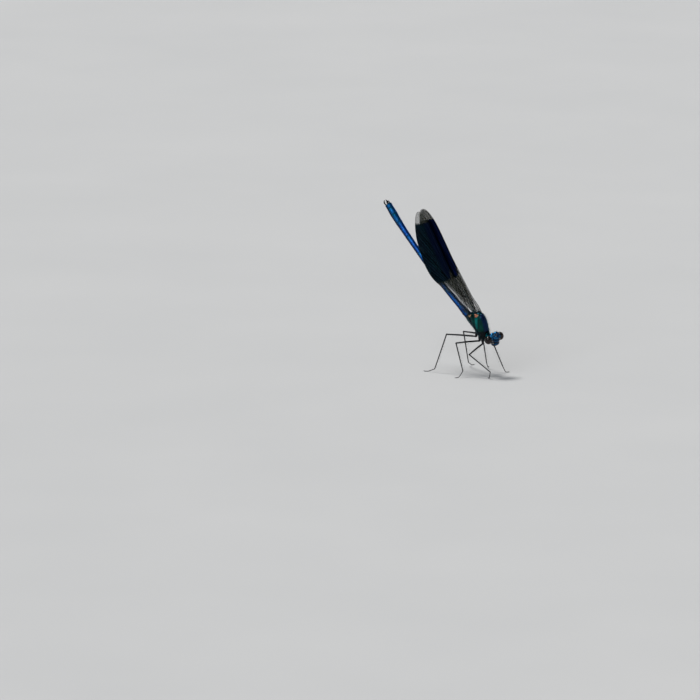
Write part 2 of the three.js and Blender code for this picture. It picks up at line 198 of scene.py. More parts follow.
def balls(*specs, detail=24):
    bm = bmesh.new()
    for spec in specs:
        ball(bm, *spec, detail=detail)
    return bm


def taken(obj):
    """The finished mesh of a helper object, as a bmesh; the helper is removed."""
    bpy.context.scene.collection.objects.link(obj)
    graph_now = bpy.context.evaluated_depsgraph_get()
    mesh = bpy.data.meshes.new_from_object(obj.evaluated_get(graph_now))
    bm = bmesh.new()
    bm.from_mesh(mesh)
    bpy.data.meshes.remove(mesh)
    bpy.data.objects.remove(obj)
    return bm


def fused(bm, grain, rounds=4):
    """One smooth skin round the closed shapes in bm that overlap."""
    mesh = bpy.data.meshes.new("fused")
    bm.to_mesh(mesh)
    bm.free()
    helper = bpy.data.objects.new("fused", mesh)
    wrap = helper.modifiers.new("wrap", "REMESH")
    wrap.mode = "VOXEL"
    wrap.voxel_size = grain
    skin = taken(helper)
    for _ in range(rounds):
        bmesh.ops.smooth_vert(skin, verts=skin.verts, factor=0.5, use_axis_x=True, use_axis_y=True,
                              use_axis_z=True)
    return skin


def strands(lines, resolution=0):
    """Thin closed tubes, one for each list of (point, radius)."""
    curve = bpy.data.curves.new("strands", "CURVE")
    curve.dimensions = "3D"
    curve.bevel_depth = 1.0
    curve.bevel_resolution = resolution
    curve.use_fill_caps = True
    for line in lines:
        spline = curve.splines.new("POLY")
        spline.points.add(len(line) - 1)
        for target, (point, radius) in zip(spline.points, line):
            target.co = (*point, 1)
            target.radius = radius
    return taken(bpy.data.objects.new("strands", curve))


def bristle(root, direction, length, radius, sweep, steps=3):
    """The line of one bristle, curved towards sweep."""
    line = []
    for i in range(steps + 1):
        t = i / steps
        point = root + direction * (length * t) + sweep * (length * t * t)
        line.append((point, radius * (1 - 0.85 * t)))
    return line


def merged(*shapes):
    """Several bmeshes as one."""
    whole = bmesh.new()
    for shape in shapes:
        mesh = bpy.data.meshes.new("part")
        shape.to_mesh(mesh)
        shape.free()
        whole.from_mesh(mesh)
        bpy.data.meshes.remove(mesh)
    return whole


def new_layers(bm, *names):
    """The empty vertex values of these names."""
    return {name: bm.verts.layers.float.new(name) for name in names}


def marked(bm, name, value_at):
    """Stores a value on every vertex for the materials to read."""
    layer = bm.verts.layers.float.get(name) or bm.verts.layers.float.new(name)
    for v in bm.verts:
        v[layer] = value_at(v.co)
    return bm


HAIR_ROOT = 0.02  # how deep a hair is seated in the skin


def hairs_on(bm, seed, count, lengths, wanted, radius=0.0055, sweep=Vector((-0.5, 0, 0))):
    """Fine hairs spread over a skin where wanted(point, normal) is true."""
    draw = random.Random(seed)
    bm.normal_update()
    spots = [(tuple(round(c, 4) for c in face.calc_center_median()), face.normal[:]) for face in bm.faces]
    spots = [(Vector(point), Vector(normal)) for point, normal in sorted(spots)]
    spots = [spot for spot in spots if wanted(*spot)]
    lines = []
    for point, normal in draw.choices(spots, k=count):
        lean = (normal + Vector([draw.uniform(-0.3, 0.3) for _ in range(3)])).normalized()
        lines.append(bristle(point - normal * HAIR_ROOT, lean, draw.uniform(*lengths), radius, sweep))
    return strands(lines)


OUTSIDE = 9  # farther out than any skin


def on_skin(tree, origin, direction):
    """The place and the normal where a ray from inside leaves a skin."""
    origin = Vector(origin)
    far = origin + Vector(direction).normalized() * OUTSIDE
    hit, normal, _, _ = tree.ray_cast(far, (origin - far).normalized())
    return hit, normal


def plates(tree, specs, grain, rounds):
    """Low rounded plates seated on a skin; a spec is (inside point, direction, radii, degrees)."""
    bm = bmesh.new()
    for origin, direction, radii, degrees in specs:
        hit, normal = on_skin(tree, origin, direction)
        lie = normal.to_track_quat("Z", "X").to_matrix().to_4x4() @ turn("Z", degrees)
        ball(bm, hit, radii, lie)
    return fused(bm, grain, rounds)


def piece(name, bm, place, finish, nodes=(), crease=40, outwards=True):
    """Puts a finished shape in its place and hangs it on the body."""
    bmesh.ops.transform(bm, matrix=place, verts=bm.verts)
    if outwards:
        bmesh.ops.recalc_face_normals(bm, faces=bm.faces)
    mesh = bpy.data.meshes.new(name)
    bm.to_mesh(mesh)
    bm.free()
    mesh.materials.append(finish)
    mesh.shade_smooth()
    mesh.set_sharp_from_angle(angle=math.radians(crease))
    obj = bpy.data.objects.new(name, mesh)
    bpy.context.scene.collection.objects.link(obj)
    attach(obj, "root")
    if nodes:
        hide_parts(*nodes)
    return obj


# Materials


def feed(tree, target, inputs):
    """Gives each input its plain value or the socket that feeds it."""
    for key, value in inputs.items():
        if isinstance(value, bpy.types.NodeSocket):
            tree.links.new(value, target.inputs[key])
        else:
            target.inputs[key].default_value = value


def node(tree, kind, inputs=None, **settings):
    made = tree.nodes.new(kind)
    for key, value in settings.items():
        setattr(made, key, value)
    feed(tree, made, inputs or {})
    return made


def object_place(tree):
    return node(tree, "ShaderNodeTexCoord").outputs["Object"]


def group(name, inputs, outputs):
    """A node group with named float inputs and outputs, its tree, its input node and its output node."""
    tree = bpy.data.node_groups.new(name, "ShaderNodeTree")
    for key, value in inputs.items():
        socket = tree.interface.new_socket(name=key, in_out="INPUT", socket_type="NodeSocketFloat")
        socket.default_value = value
    for key in outputs:
        tree.interface.new_socket(name=key, in_out="OUTPUT", socket_type="NodeSocketFloat")
    return tree, tree.nodes.new("NodeGroupInput"), tree.nodes.new("NodeGroupOutput")


def math_node(tree, operation, a, b=0.0, c=0.0, clamp=False):
    made = node(tree, "ShaderNodeMath", {0: a, 1: b, 2: c}, operation=operation, use_clamp=clamp)
    return made.outputs[0]


def smooth_step(tree, value, low, high):
    inputs = {"Value": value, "From Min": low, "From Max": high}
    return node(tree, "ShaderNodeMapRange", inputs, interpolation_type="SMOOTHSTEP").outputs["Result"]


def noise_at(tree, coordinates, size, detail=3.0, roughness=0.55):
    """Noise whose lumps are about size millimetres across."""
    inputs = {"Vector": coordinates, "Scale": 1 / (size * MM), "Detail": detail, "Roughness": roughness}
    return node(tree, "ShaderNodeTexNoise", inputs).outputs["Fac"]


def make_cuticle_group():
    """Horny skin: mottled tone, fine pits with a wrinkled ground, and the gloss that goes with them."""
    inputs = {"Pit size": 0.06, "Pit depth": 1.0}
    tree, given, put = group("cuticle surface", inputs, ["Tone", "Height", "Wear"])
    place = object_place(tree)
    scale = math_node(tree, "DIVIDE", 1 / MM, given.outputs["Pit size"])
    pits = node(tree, "ShaderNodeTexVoronoi", {"Vector": place, "Scale": scale, "Randomness": 0.85})
    pit = smooth_step(tree, pits.outputs["Distance"], 0.05, 0.4)
    wrinkle = math_node(tree, "MULTIPLY", noise_at(tree, place, 0.035, 4.0, 0.6), 0.5)
    height = math_node(tree, "MULTIPLY_ADD", pit, given.outputs["Pit depth"], wrinkle)
    feed(tree, put, {"Tone": noise_at(tree, place, 0.9, 4.0, 0.6), "Height": height,
                     "Wear": noise_at(tree, place, 0.16, 3.0, 0.7)})
    return tree


CUTICLE = make_cuticle_group()


def attribute(tree, name):
    return node(tree, "ShaderNodeAttribute", attribute_name=name).outputs["Fac"]


def mix(tree, share, a, b):
    """The colour share of the way from a to b, each a plain (r, g, b) or a socket."""
    a, b = [(*colour, 1) if isinstance(colour, tuple) else colour for colour in (a, b)]
    return node(tree, "ShaderNodeMix", {0: share, 6: a, 7: b}, data_type="RGBA").outputs[2]


def new_material(name):
    """A new material, its node tree and its Principled shader."""
    material = bpy.data.materials.new(name)
    material.use_nodes = True
    tree = material.node_tree
    shader = tree.nodes["Principled BSDF"]
    return material, tree, shader


def fine_rings(tree):
    """Fine wrinkles across a limb or ring, on its own lengthways and round measures in millimetres."""
    along = math_node(tree, "DIVIDE", attribute(tree, "along"), 0.055)
    around = math_node(tree, "DIVIDE", attribute(tree, "around"), 0.6)
    place = node(tree, "ShaderNodeCombineXYZ", {"X": along, "Y": around}).outputs[0]
    return node(tree, "ShaderNodeTexNoise", {"Vector": place, "Scale": 1.0, "Detail": 3.0}).outputs["Fac"]


COAT_ROUGHNESS = 0.12


def cuticle(name, deep, bright, marks=(), metal=0.9, gloss=(0.26, 0.4), pits=(0.06, 1.0), depth=0.006,
            coat=0.1, level=0.35, rim=(1, 1, 1), wrinkled=False):
    """Horny skin from deep to bright; each mark is (attribute, colour, metal, strength) over it.

    gloss is the least and most roughness, depth that of the relief in millimetres, and level and rim the
    strength and the tint of what the skin mirrors at its edges.
    """
    material, tree, shader = new_material(name)
    surface = node(tree, "ShaderNodeGroup", {"Pit size": pits[0], "Pit depth": pits[1]}, node_tree=CUTICLE)
    tone = smooth_step(tree, surface.outputs["Tone"], 0.32, 0.68)
    height = surface.outputs["Height"]
    if wrinkled:
        height = math_node(tree, "MULTIPLY_ADD", fine_rings(tree), 1.6, height)
    colour = mix(tree, tone, deep, bright)
    for key, over, over_metal, strength in marks:
        share = math_node(tree, "MULTIPLY", attribute(tree, key), strength, clamp=True)
        colour = mix(tree, share, colour, over)
        drop = math_node(tree, "SUBTRACT", over_metal, metal)
        metal = math_node(tree, "MULTIPLY_ADD", drop, share, metal)
    wear = {"Value": surface.outputs["Wear"], "From Min": 0.3, "From Max": 0.7, "To Min": gloss[0],
            "To Max": gloss[1]}
    rough = node(tree, "ShaderNodeMapRange", wear).outputs["Result"]
    relief = node(tree, "ShaderNodeBump", {"Strength": 0.6, "Distance": depth * MM, "Height": height})
    feed(tree, shader, {
        "Base Color": colour, "Roughness": rough, "Metallic": metal, "Normal": relief.outputs["Normal"],
        "Coat Weight": coat, "Coat Roughness": COAT_ROUGHNESS, "Specular IOR Level": level,
        "Specular Tint": (*rim, 1),
    })
    return material


BLACK = (0.004, 0.005, 0.007)
BLUE_RIM = (0.25, 0.4, 0.9)
WING_RIM = (0.4, 0.5, 0.65)
MEMBRANE = 0.012  # thickness of a wing and depth of its relief, in millimetres
# On the abdomen the under and back marks are painted shade, on the lower side and belly and in a strip along
# the back line; teal and edge are its own colour
ABDOMEN_SKIN = cuticle(
    "abdomen blue", (0.004, 0.045, 0.24), (0.012, 0.13, 0.5), gloss=(0.28, 0.42), wrinkled=True, rim=BLUE_RIM,
    marks=[("teal", (0.0, 0.13, 0.21), 0.9, 0.6), ("back", (0.002, 0.02, 0.1), 0.9, 0.45),
           ("edge", (0.002, 0.006, 0.018), 0.5, 0.9), ("under", BLACK, 0.8, 1.0)],
)
# On the thorax a painted highlight runs down the side, and painted shade darkens the belly and the front
# below the head; the other marks are its own colour
THORAX_SKIN = cuticle(
    "thorax green", (0.001, 0.02, 0.016), (0.0015, 0.055, 0.046), gloss=(0.26, 0.4), rim=(0.3, 0.7, 0.8),
    marks=[("painted_highlight", (0.006, 0.24, 0.23), 0.9, 0.85), ("front", (0.002, 0.014, 0.06), 0.9, 1.0),
           ("suture", BLACK, 0.7, 1.0), ("under", BLACK, 0.85, 1.0), ("orange", (0.4, 0.13, 0.06), 0.0, 1.0),
           ("cream", (0.42, 0.27, 0.14), 0.0, 0.9)],
)
HEAD_SKIN = cuticle(
    "head blue", (0.004, 0.04, 0.12), (0.012, 0.15, 0.34), gloss=(0.2, 0.36), rim=BLUE_RIM, coat=0.2,
    marks=[("dark", BLACK, 0.3, 1.0), ("pale", (0.42, 0.36, 0.24), 0.0, 0.9)],
)
COLLAR_SKIN = cuticle("collar teal", (0.0, 0.07, 0.085), (0.004, 0.18, 0.21), rim=BLUE_RIM,
                      marks=[("under", BLACK, 0.2, 1.0)])
BLACK_SKIN = cuticle("black cuticle", (0.003, 0.0035, 0.0045), (0.009, 0.01, 0.013), metal=0.0,
                     gloss=(0.28, 0.45), level=0.2)
LEG_SKIN = cuticle("leg black", (0.003, 0.0035, 0.0045), (0.01, 0.011, 0.015), metal=0.15, gloss=(0.3, 0.48),
                   pits=(0.045, 0.8), depth=0.004, level=0.18, coat=0.05)
HINGE_ORANGE = cuticle("hinge orange", (0.28, 0.085, 0.04), (0.5, 0.2, 0.115), metal=0.0, gloss=(0.35, 0.55))
HINGE_CREAM = cuticle("hinge cream", (0.36, 0.22, 0.11), (0.62, 0.43, 0.25), metal=0.0, gloss=(0.35, 0.55))
SOFT_SKIN = cuticle("soft neck skin", (0.02, 0.02, 0.022), (0.07, 0.065, 0.06), metal=0.0, gloss=(0.5, 0.7),
                    coat=0.0)
HAIR = cuticle("hair", (0.008, 0.008, 0.01), (0.05, 0.045, 0.04), metal=0.0, gloss=(0.4, 0.6), coat=0.0)


def make_eye_skin():
    """Dark compound eye that turns red-brown downwards, under a clear glossy coat."""
    material, tree, shader = new_material("compound eye")
    place = object_place(tree)
    tone = smooth_step(tree, noise_at(tree, place, 0.5), 0.35, 0.65)
    colour = mix(tree, tone, (0.001, 0.0008, 0.001), (0.003, 0.0014, 0.0014))
    colour = mix(tree, attribute(tree, "rust"), colour, (0.04, 0.008, 0.005))
    rough = math_node(tree, "MULTIPLY_ADD", noise_at(tree, place, 0.2), 0.14, 0.16)
    feed(tree, shader, {"Base Color": colour, "Roughness": rough, "Coat Weight": 0.5, "Coat Roughness": 0.04,
                        "Specular IOR Level": 0.06})
    return material


def make_ocellus_skin():
    material, tree, shader = new_material("ocellus amber")
    place = object_place(tree)
    colour = mix(tree, noise_at(tree, place, 0.08), (0.25, 0.12, 0.04), (0.6, 0.42, 0.22))
    feed(tree, shader, {"Base Color": colour, "Roughness": 0.15, "Coat Weight": 1.0})
    return material


def make_wing_skin():
    """Smoky clear membrane with the blue-black band, whose strip at the front edge has a painted violet
    sheen.
    """
    material, tree, shader = new_material("wing membrane")
    place = object_place(tree)
    ragged = math_node(tree, "MULTIPLY_ADD", noise_at(tree, place, 0.5, 4.0, 0.65), 1.2, -0.6)
    band = smooth_step(tree, math_node(tree, "ADD", attribute(tree, "band"), ragged), -0.25, 0.45)
    cloud = smooth_step(tree, noise_at(tree, place, 2.2, 4.0, 0.6), 0.35, 0.65)
    smoke = mix(tree, cloud, (0.022, 0.028, 0.019), (0.045, 0.045, 0.028))
    ink = mix(tree, cloud, (0.0004, 0.0014, 0.0022), (0.0008, 0.004, 0.006))
    # painted sheen: the front strip of the band turns violet
    ink = mix(tree, attribute(tree, "painted_sheen"), ink, (0.003, 0.006, 0.045))
    clear = math_node(tree, "MULTIPLY_ADD", cloud, 0.06, 0.23)
    clear = math_node(tree, "MULTIPLY_ADD", attribute(tree, "smoke"), 0.06, clear)
    solid = math_node(tree, "SUBTRACT", 0.98, clear)
    cells = node(tree, "ShaderNodeTexVoronoi", {"Vector": place, "Scale": 1 / (0.3 * MM)})
    wave = math_node(tree, "ADD", cells.outputs["Distance"], noise_at(tree, place, 0.1))
    relief = node(tree, "ShaderNodeBump", {"Strength": 0.5, "Distance": MEMBRANE * MM, "Height": wave})
    feed(tree, shader, {
        "Base Color": mix(tree, band, smoke, ink), "Metallic": math_node(tree, "MULTIPLY", band, 0.85),
        "Roughness": math_node(tree, "MULTIPLY_ADD", noise_at(tree, place, 0.25), 0.25, 0.2),
        "Alpha": math_node(tree, "MULTIPLY_ADD", band, solid, clear), "Normal": relief.outputs["Normal"],
        "Specular IOR Level": 0.1, "Specular Tint": (*WING_RIM, 1),
    })
    return material


def make_vein_skin():
    """Dark veins with a blue-green metal gleam inside the band."""
    material, tree, shader = new_material("wing vein")
    place = object_place(tree)
    tone = smooth_step(tree, noise_at(tree, place, 0.3), 0.3, 0.7)
    brown = mix(tree, tone, (0.004, 0.005, 0.006), (0.02, 0.02, 0.016))
    brown = mix(tree, attribute(tree, "long"), brown, (0.01, 0.03, 0.04))
    band = smooth_step(tree, attribute(tree, "band"), -0.3, 0.6)
    gleam = mix(tree, attribute(tree, "long"), (0.001, 0.005, 0.008), (0.025, 0.11, 0.15))
    feed(tree, shader, {
        "Base Color": mix(tree, band, brown, gleam), "Specular Tint": (*WING_RIM, 1),
        "Metallic": math_node(tree, "MULTIPLY_ADD", band, 0.5, 0.3), "Specular IOR Level": 0.15,
        "Roughness": math_node(tree, "MULTIPLY_ADD", tone, 0.12, 0.28),
    })
    return material


EYE_SKIN = make_eye_skin()
OCELLUS_SKIN = make_ocellus_skin()
WING_SKIN = make_wing_skin()
VEIN_SKIN = make_vein_skin()

# Abdomen: ten rings along one line, each with its front rim tucked into the ring before it

ABDOMEN_LENGTHS = (0.95, 2.35, 5.75, 6.05, 5.95, 5.25, 4.3, 2.5, 1.75, 1.1)
ABDOMEN_RADII = (1.0, 0.92, 0.74, 0.68, 0.67, 0.7, 0.75, 0.88, 0.95, 0.88)
RIM_FLARE = 0.03
ABDOMEN_LINE = Path([(0.06, 0, -0.78), (-3, 0, -0.84), (-6.5, 0, -0.76), (-10.2, 0, -0.62), (-14.5, 0, -0.22),
                     (-18.5, 0, 0.22), (-22.5, 0, 0.85), (-27, 0, 1.62), (-31, 0, 2.42), (-34, 0, 3.2),
                     (-36.3, 0, 3.85)])
RING_SIDES = 72
LAST_LONG_RING = 7
PAINTED_SHADE_ANGLE, BELLY_ANGLE, FOLD_ANGLE = 1.06, 2.35, 2.42  # radians from the back line; painted shade darkens each ring from the first of them down to the belly


def ring_profile(start, length, front, rear, last):
    """(x, radius) of one ring: a tucked neck, a shoulder, a long wall and a rim with its lip."""
    end = start + length

    def wall(t):
        return lerp(front, rear, t * t)

    neck = ((-0.3, 0), (-0.3, 0.7), (-0.1, 0.88), (0.02, 0.93), (0.07, 0.965), (0.13, 0.99), (0.2, 1.0))
    profile = [(start + x, share * front) for x, share in neck]
    steps = max(5, round((length - 0.6) / 0.16))
    for i in range(steps + 1):
        x = lerp(start + 0.26, end - 0.34, i / steps)
        profile.append((x, wall((x - start) / length)))
    for back, share in ((0.26, 0.15), (0.2, 0.45), (0.14, 0.8), (0.08, 1.0), (0.03, 1.0)):
        profile.append((end - back, wall(1 - back / length) + RIM_FLARE * share))
    if last:
        closing = ((0.02, 0.97), (0.08, 0.82), (0.13, 0.55), (0.16, 0))
    else:
        profile.append((end, rear + 0.5 * RIM_FLARE))
        closing = ((0, 0.95), (-0.12, 0.9), (-0.14, 0))
    return profile + [(end + x, share * rear) for x, share in closing]


def shape_ring(bm, start, length, index):
    """Gives a turned ring its keel, its two folds and its flat belly plate, and marks its colours and its
    painted shade.
    """
    layers = new_layers(bm, "under", "teal", "edge", "back", "along", "around")
    for v in bm.verts:
        x, y, z = v.co
        radius = math.hypot(y, z)
        angle = abs(math.atan2(y, z))
        t = (x - start) / length
        belly = ease((angle - BELLY_ANGLE) / 0.5)
        fold = bump(angle - FOLD_ANGLE, 0.07)
        waist = bump(t - 0.07, 0.02) * 0.015
        grow = 1 + 0.022 * bump(angle, 0.1) - 0.07 * fold - 0.06 * belly - waist
        grow += 0.01 * noise.noise(Vector((x * 1.6, y * 2, z * 2 + index)))
        shift = noise.noise(Vector((x * 0.9, y * 1.5, z * 1.5 + 3 * index)))
        if radius > 0.3:
            v.co.y = y * grow * 0.97
            v.co.z = z * grow
        # painted shade: the lower side and the belly of the ring darken to black
        v[layers["under"]] = ease((angle - PAINTED_SHADE_ANGLE - 0.15 * shift) / 0.62)
        v[layers["teal"]] = ease((t - 0.7) / 0.4 + 0.5 * shift) + (0.6 if index > LAST_LONG_RING else 0)
        v[layers["edge"]] = bump(t - 1.0, 0.07 / length) + bump(t, 0.07 / length) + 0.8 * fold
        # painted shade in a broad strip along the back line
        v[layers["back"]] = bump(angle, 0.36)
        v[layers["along"]] = x
        v[layers["around"]] = angle * radius
    return bm


def secondary_organ(start):
    """The small lobed organ under the second ring that only a male has."""
    bm = balls(
        ((start + 0.6, 0, -0.8), (0.55, 0.42, 0.38)), ((start + 1.3, 0, -0.78), (0.5, 0.34, 0.32)),
        *both((start + 0.45, 0.26, -0.98), (0.24, 0.14, 0.2)),
        ((start + 2.0, 0, -0.68), (0.5, 0.24, 0.24)), ((start - 0.2, 0, -0.86), (0.4, 0.4, 0.3)),
    )
    return follow(fused(bm, 0.04, 2), ABDOMEN_LINE)


def make_abdomen():
    start = 0.0
    hairs = []
    last = len(ABDOMEN_LENGTHS) - 1
    for i, length in enumerate(ABDOMEN_LENGTHS):
        front = ABDOMEN_RADII[i]
        rear = ABDOMEN_RADII[min(i + 1, last)]
        bm = lathe(ring_profile(start, length, front, rear, i == last), RING_SIDES)
        shape_ring(bm, start, length, i + 1)
        count = round(14 * length)
        hair = hairs_on(bm, 20 + i, count, (0.08, 0.2), lambda p, n: abs(n.x) < 0.5, 0.004,
                        Vector((0.6, 0, 0)))
        hairs.append(follow(hair, ABDOMEN_LINE))
        follow(bm, ABDOMEN_LINE)
        piece(f"ring_{i + 1}", bm, TRUNK, ABDOMEN_SKIN, [f"abdomen_{i + 1}"])
        start += length
    piece("abdomen_hair", merged(*hairs), TRUNK, HAIR, outwards=False)
    piece("secondary_organ", secondary_organ(ABDOMEN_LENGTHS[0]), TRUNK, BLACK_SKIN)
    return start


# Callipers and claspers at the tip of the abdomen, by (forward, outward, up) from its end

CERCUS = [(-0.1, 0.34, 0.34), (0.25, 0.45, 0.4), (0.62, 0.55, 0.4), (0.98, 0.52, 0.36), (1.22, 0.38, 0.3),
          (1.35, 0.22, 0.27)]
PARAPROCT = [(-0.1, 0.3, -0.3), (0.4, 0.36, -0.34), (0.7, 0.34, -0.3), (0.8, 0.28, -0.2)]
CALLIPER_TEETH = 7


def make_tip(distance):
    point, along, _, _ = ABDOMEN_LINE.axes(distance)
    side = Vector((0, 1, 0))
    above = side.cross(along) * -1

    def at(forward, sideways, up):
        return point + along * forward + side * sideways + above * up

    for name, sign in SIDES.items():
        cercus = Path([at(forward, sign * out, up) for forward, out, up in CERCUS])
        shaft = rod(cercus, lambda t: lerp(0.17, 0.1, t) + 0.04 * bump(t - 0.62, 0.2), 20, 0.05)
        teeth = []
        for i in range(CALLIPER_TEETH):
            base = at(0.5 + 0.11 * i, sign * (0.64 - 0.03 * abs(i - 2)), 0.4 - 0.012 * i)
            teeth.append(bristle(base, (side * sign + along * 0.5).normalized(), 0.13, 0.035, Vector(), 2))
        piece(f"calliper_{name}", merged(shaft, strands(teeth)), TRUNK, BLACK_SKIN,
              [f"cercus_{name}"])
        paraproct = Path([at(forward, sign * out, up) for forward, out, up in PARAPROCT])
        clasper = rod(paraproct, lambda t: lerp(0.21, 0.1, ease(t)), 16, 0.05)
        piece(f"clasper_{name}", clasper, TRUNK, BLACK_SKIN, [f"paraproct_{name}"])


# Thorax: stations from the rear to the neck, with the back line, the belly line and the half width

THORAX_HALF = graph([(0, 0.95), (1, 1.3), (2, 1.58), (3, 1.7), (4, 1.68), (5, 1.45), (6, 1.1)])
THORAX_RIDGE = graph([(0, 2), (1, 2.3), (2, 2.2), (3, 1.85), (4, 1.65), (5, 1.6), (6, 1.8)])
BELLY_ROUNDNESS = 2.3
STATIONS = 6
PAINTED_HIGHLIGHT_LINE = [(4.8, 0.3), (4.1, 0.95), (3.55, 1.55), (3.2, 1.9)]  # where a painted highlight runs down the side
THORAX_CAP = 0.06  # share of the rings that rounds each end
REAR_DOME, NECK_DOME = 0.15, 0.5  # how far each end bulges out
SUTURES = {
    "shoulder": [(6.35, -2.1), (5.75, -0.9), (4.85, 0.9), (3.75, 2.35), (3.0, 3.15)],
    "middle": [(5.45, -1.9), (4.7, -0.7), (3.5, 0.75), (2.35, 1.9), (1.85, 2.4)],
    "rear": [(4.35, -1.65), (3.4, -0.75), (2.1, 0.15), (1.05, 0.85), (0.7, 1.1)],
    "lower": [(5.1, -2.05), (3.6, -1.45), (1.9, -0.95), (0.45, -0.55)],
}


def by_station(path_points):
    """A path's place by its station number, so that back, belly and width stay in step."""
    axes = [graph(list(enumerate(p[axis] for p in path_points))) for axis in (0, 2)]
    return lambda k: Vector((axes[0](k), 0, axes[1](k)))


BACK_AT = by_station([(0.12, 0, 0.4), (0.75, 0, 1.25), (1.9, 0, 2.45), (3.2, 0, 3.2), (4.4, 0, 3.0),
                      (5.7, 0, 2.05), (6.85, 0, 0.95)])
BELLY_AT = by_station([(0.2, 0, -1.7), (1.2, 0, -1.75), (2.7, 0, -1.85), (4.2, 0, -2.05), (5.5, 0, -2.35),
                       (6.8, 0, -2.6), (7.5, 0, -2.35)])


def signed_power(value, exponent):
    return math.copysign(abs(value) ** exponent, value)


def distance_to(line, x, z):
    """Distance in the side view from a point to a line of points."""
    best = 1e9
    for (ax, az), (bx, bz) in zip(line, line[1:]):
        dx, dz = bx - ax, bz - az
        t = min(max(((x - ax) * dx + (z - az) * dz) / (dx * dx + dz * dz), 0), 1)
        best = min(best, math.hypot(x - ax - t * dx, z - az - t * dz))
    return best


def thorax_point(t, angle):
    """The plain skin: t runs from the rear to the neck with a rounded cap at both ends."""
    reach, slide = 1.0, 0.0
    if t < THORAX_CAP:
        bend = t / THORAX_CAP * math.pi / 2
        reach, slide = math.sin(bend), -REAR_DOME * math.cos(bend)
    elif t > 1 - THORAX_CAP:
        bend = (1 - t) / THORAX_CAP * math.pi / 2
        reach, slide = math.sin(bend), NECK_DOME * math.cos(bend)
    k = min(max((t - THORAX_CAP) / (1 - 2 * THORAX_CAP), 0), 1) * STATIONS
    back, belly = BACK_AT(k), BELLY_AT(k)
    exponent = 2 / (THORAX_RIDGE(k) if math.sin(angle) > 0 else BELLY_ROUNDNESS)
    half_height = (back - belly).length / 2
    point = (back + belly) / 2
    point += (back - belly).normalized() * (reach * half_height * signed_power(math.sin(angle), exponent))
    point.y = reach * THORAX_HALF(k) * signed_power(math.cos(angle), exponent)
    point.x += slide
    return point


def graph_x(line, z):
    """The x of a side-view line at height z."""
    points = sorted(line, key=lambda p: p[1])
    for (ax, az), (bx, bz) in zip(points, points[1:]):
        if z <= bz:
            return lerp(ax, bx, min(max((z - az) / (bz - az), 0), 1))
    return points[-1][0]


def thorax_skin():
    """The thorax with its grooves, its keel and the marks for its colours, its painted highlight and its
    painted shade.
    """
    bm = bmesh.new()
    bmesh.ops.create_uvsphere(bm, u_segments=200, v_segments=190, radius=1)
    layers = new_layers(bm, "front", "suture", "under", "painted_highlight", "orange", "cream")
    for v in bm.verts:
        t = math.acos(min(max(v.co.z, -1), 1)) / math.pi
        v.co = thorax_point(1 - t, math.atan2(v.co.y, v.co.x))
    bm.normal_update()
    moves = []
    for v in bm.verts:
        x, y, z = v.co
        near = min(distance_to(line, x, z) for line in SUTURES.values())
        side = ease((abs(y) - 0.15) / 0.3)
        groove = bump(near, 0.045) * side
        shoulder = distance_to(SUTURES["shoulder"], x, z)
        before = x > graph_x(SUTURES["shoulder"], z)
        keel = bump(y, 0.05) if before else 0
        swell = 0.06 * (1 - bump(near, 0.35)) * side
        lumps = 0.015 * noise.noise(v.co * 1.7)
        crest = bump(x - 3.4 + 0.3 * ease((2.9 - z) / 0.9), 0.11) * ease((z - 1.95) / 0.6)
        moves.append(v.co + v.normal * (swell - 0.06 - 0.08 * groove + 0.06 * keel + 0.1 * crest + lumps))
        fore_bed = bump(math.hypot((x - 2.2) / 0.75, (z - 2.3) / 0.42), 1)
        hind_bed = bump(math.hypot(x - 0.95, z - 0.75) / 0.5, 1)
        bed = max(fore_bed, hind_bed) * ease((abs(y) - 0.4) / 0.3)
        v[layers["front"]] = ease((1.12 - abs(y)) / 0.55) * (ease(shoulder / 0.3) if before else 0)
        upper = 0.55 + 0.45 * ease((z - 0.6) / 0.8)
        # a painted highlight down the middle of the side, stronger higher up
        v[layers["painted_highlight"]] = bump(distance_to(PAINTED_HIGHLIGHT_LINE, x, z), 0.42) * side * upper
        lateral = ease((abs(y) - 0.6) / 0.2)
        v[layers["orange"]] = lateral * ease((1 - math.hypot((x - 2.6) / 0.6, (z - 2.38) / 0.38)) / 0.3)
        v[layers["cream"]] = lateral * ease((1 - math.hypot((x - 0.95) / 0.5, (z - 0.62) / 0.36)) / 0.3)
        v[layers["suture"]] = min(1, 1.3 * groove + 0.3 * bump(shoulder, 0.12) * side + 0.9 * bed)
        # painted shade on the lower thorax, and a painted shadow of the head on the front below the neck
        below = ease((1.6 - 0.3 * x - z) / 0.75)
        v[layers["under"]] = max(below, ease((0.8 * x - 4.55 - z) / 0.6))
    for v, place in zip(bm.verts, moves):
        v.co = place
    return bm


def make_thorax():
    skin = thorax_skin()
    tree = BVHTree.FromBMesh(skin)
    sides = hairs_on(skin, 1, 1300, (0.2, 0.5), lambda p, n: abs(n.y) > 0.1 or p.z < -1.2)
    front = hairs_on(skin, 2, 500, (0.3, 0.65), lambda p, n: p.x > 3.4 and n.z > -0.2,
                     sweep=Vector((0.3, 0, 0.2)))
    piece("thorax_shell", skin, TRUNK, THORAX_SKIN, ["thorax"])
    piece("thorax_hair", merged(sides, front), TRUNK, HAIR, outwards=False)
    make_wing_bed(tree)


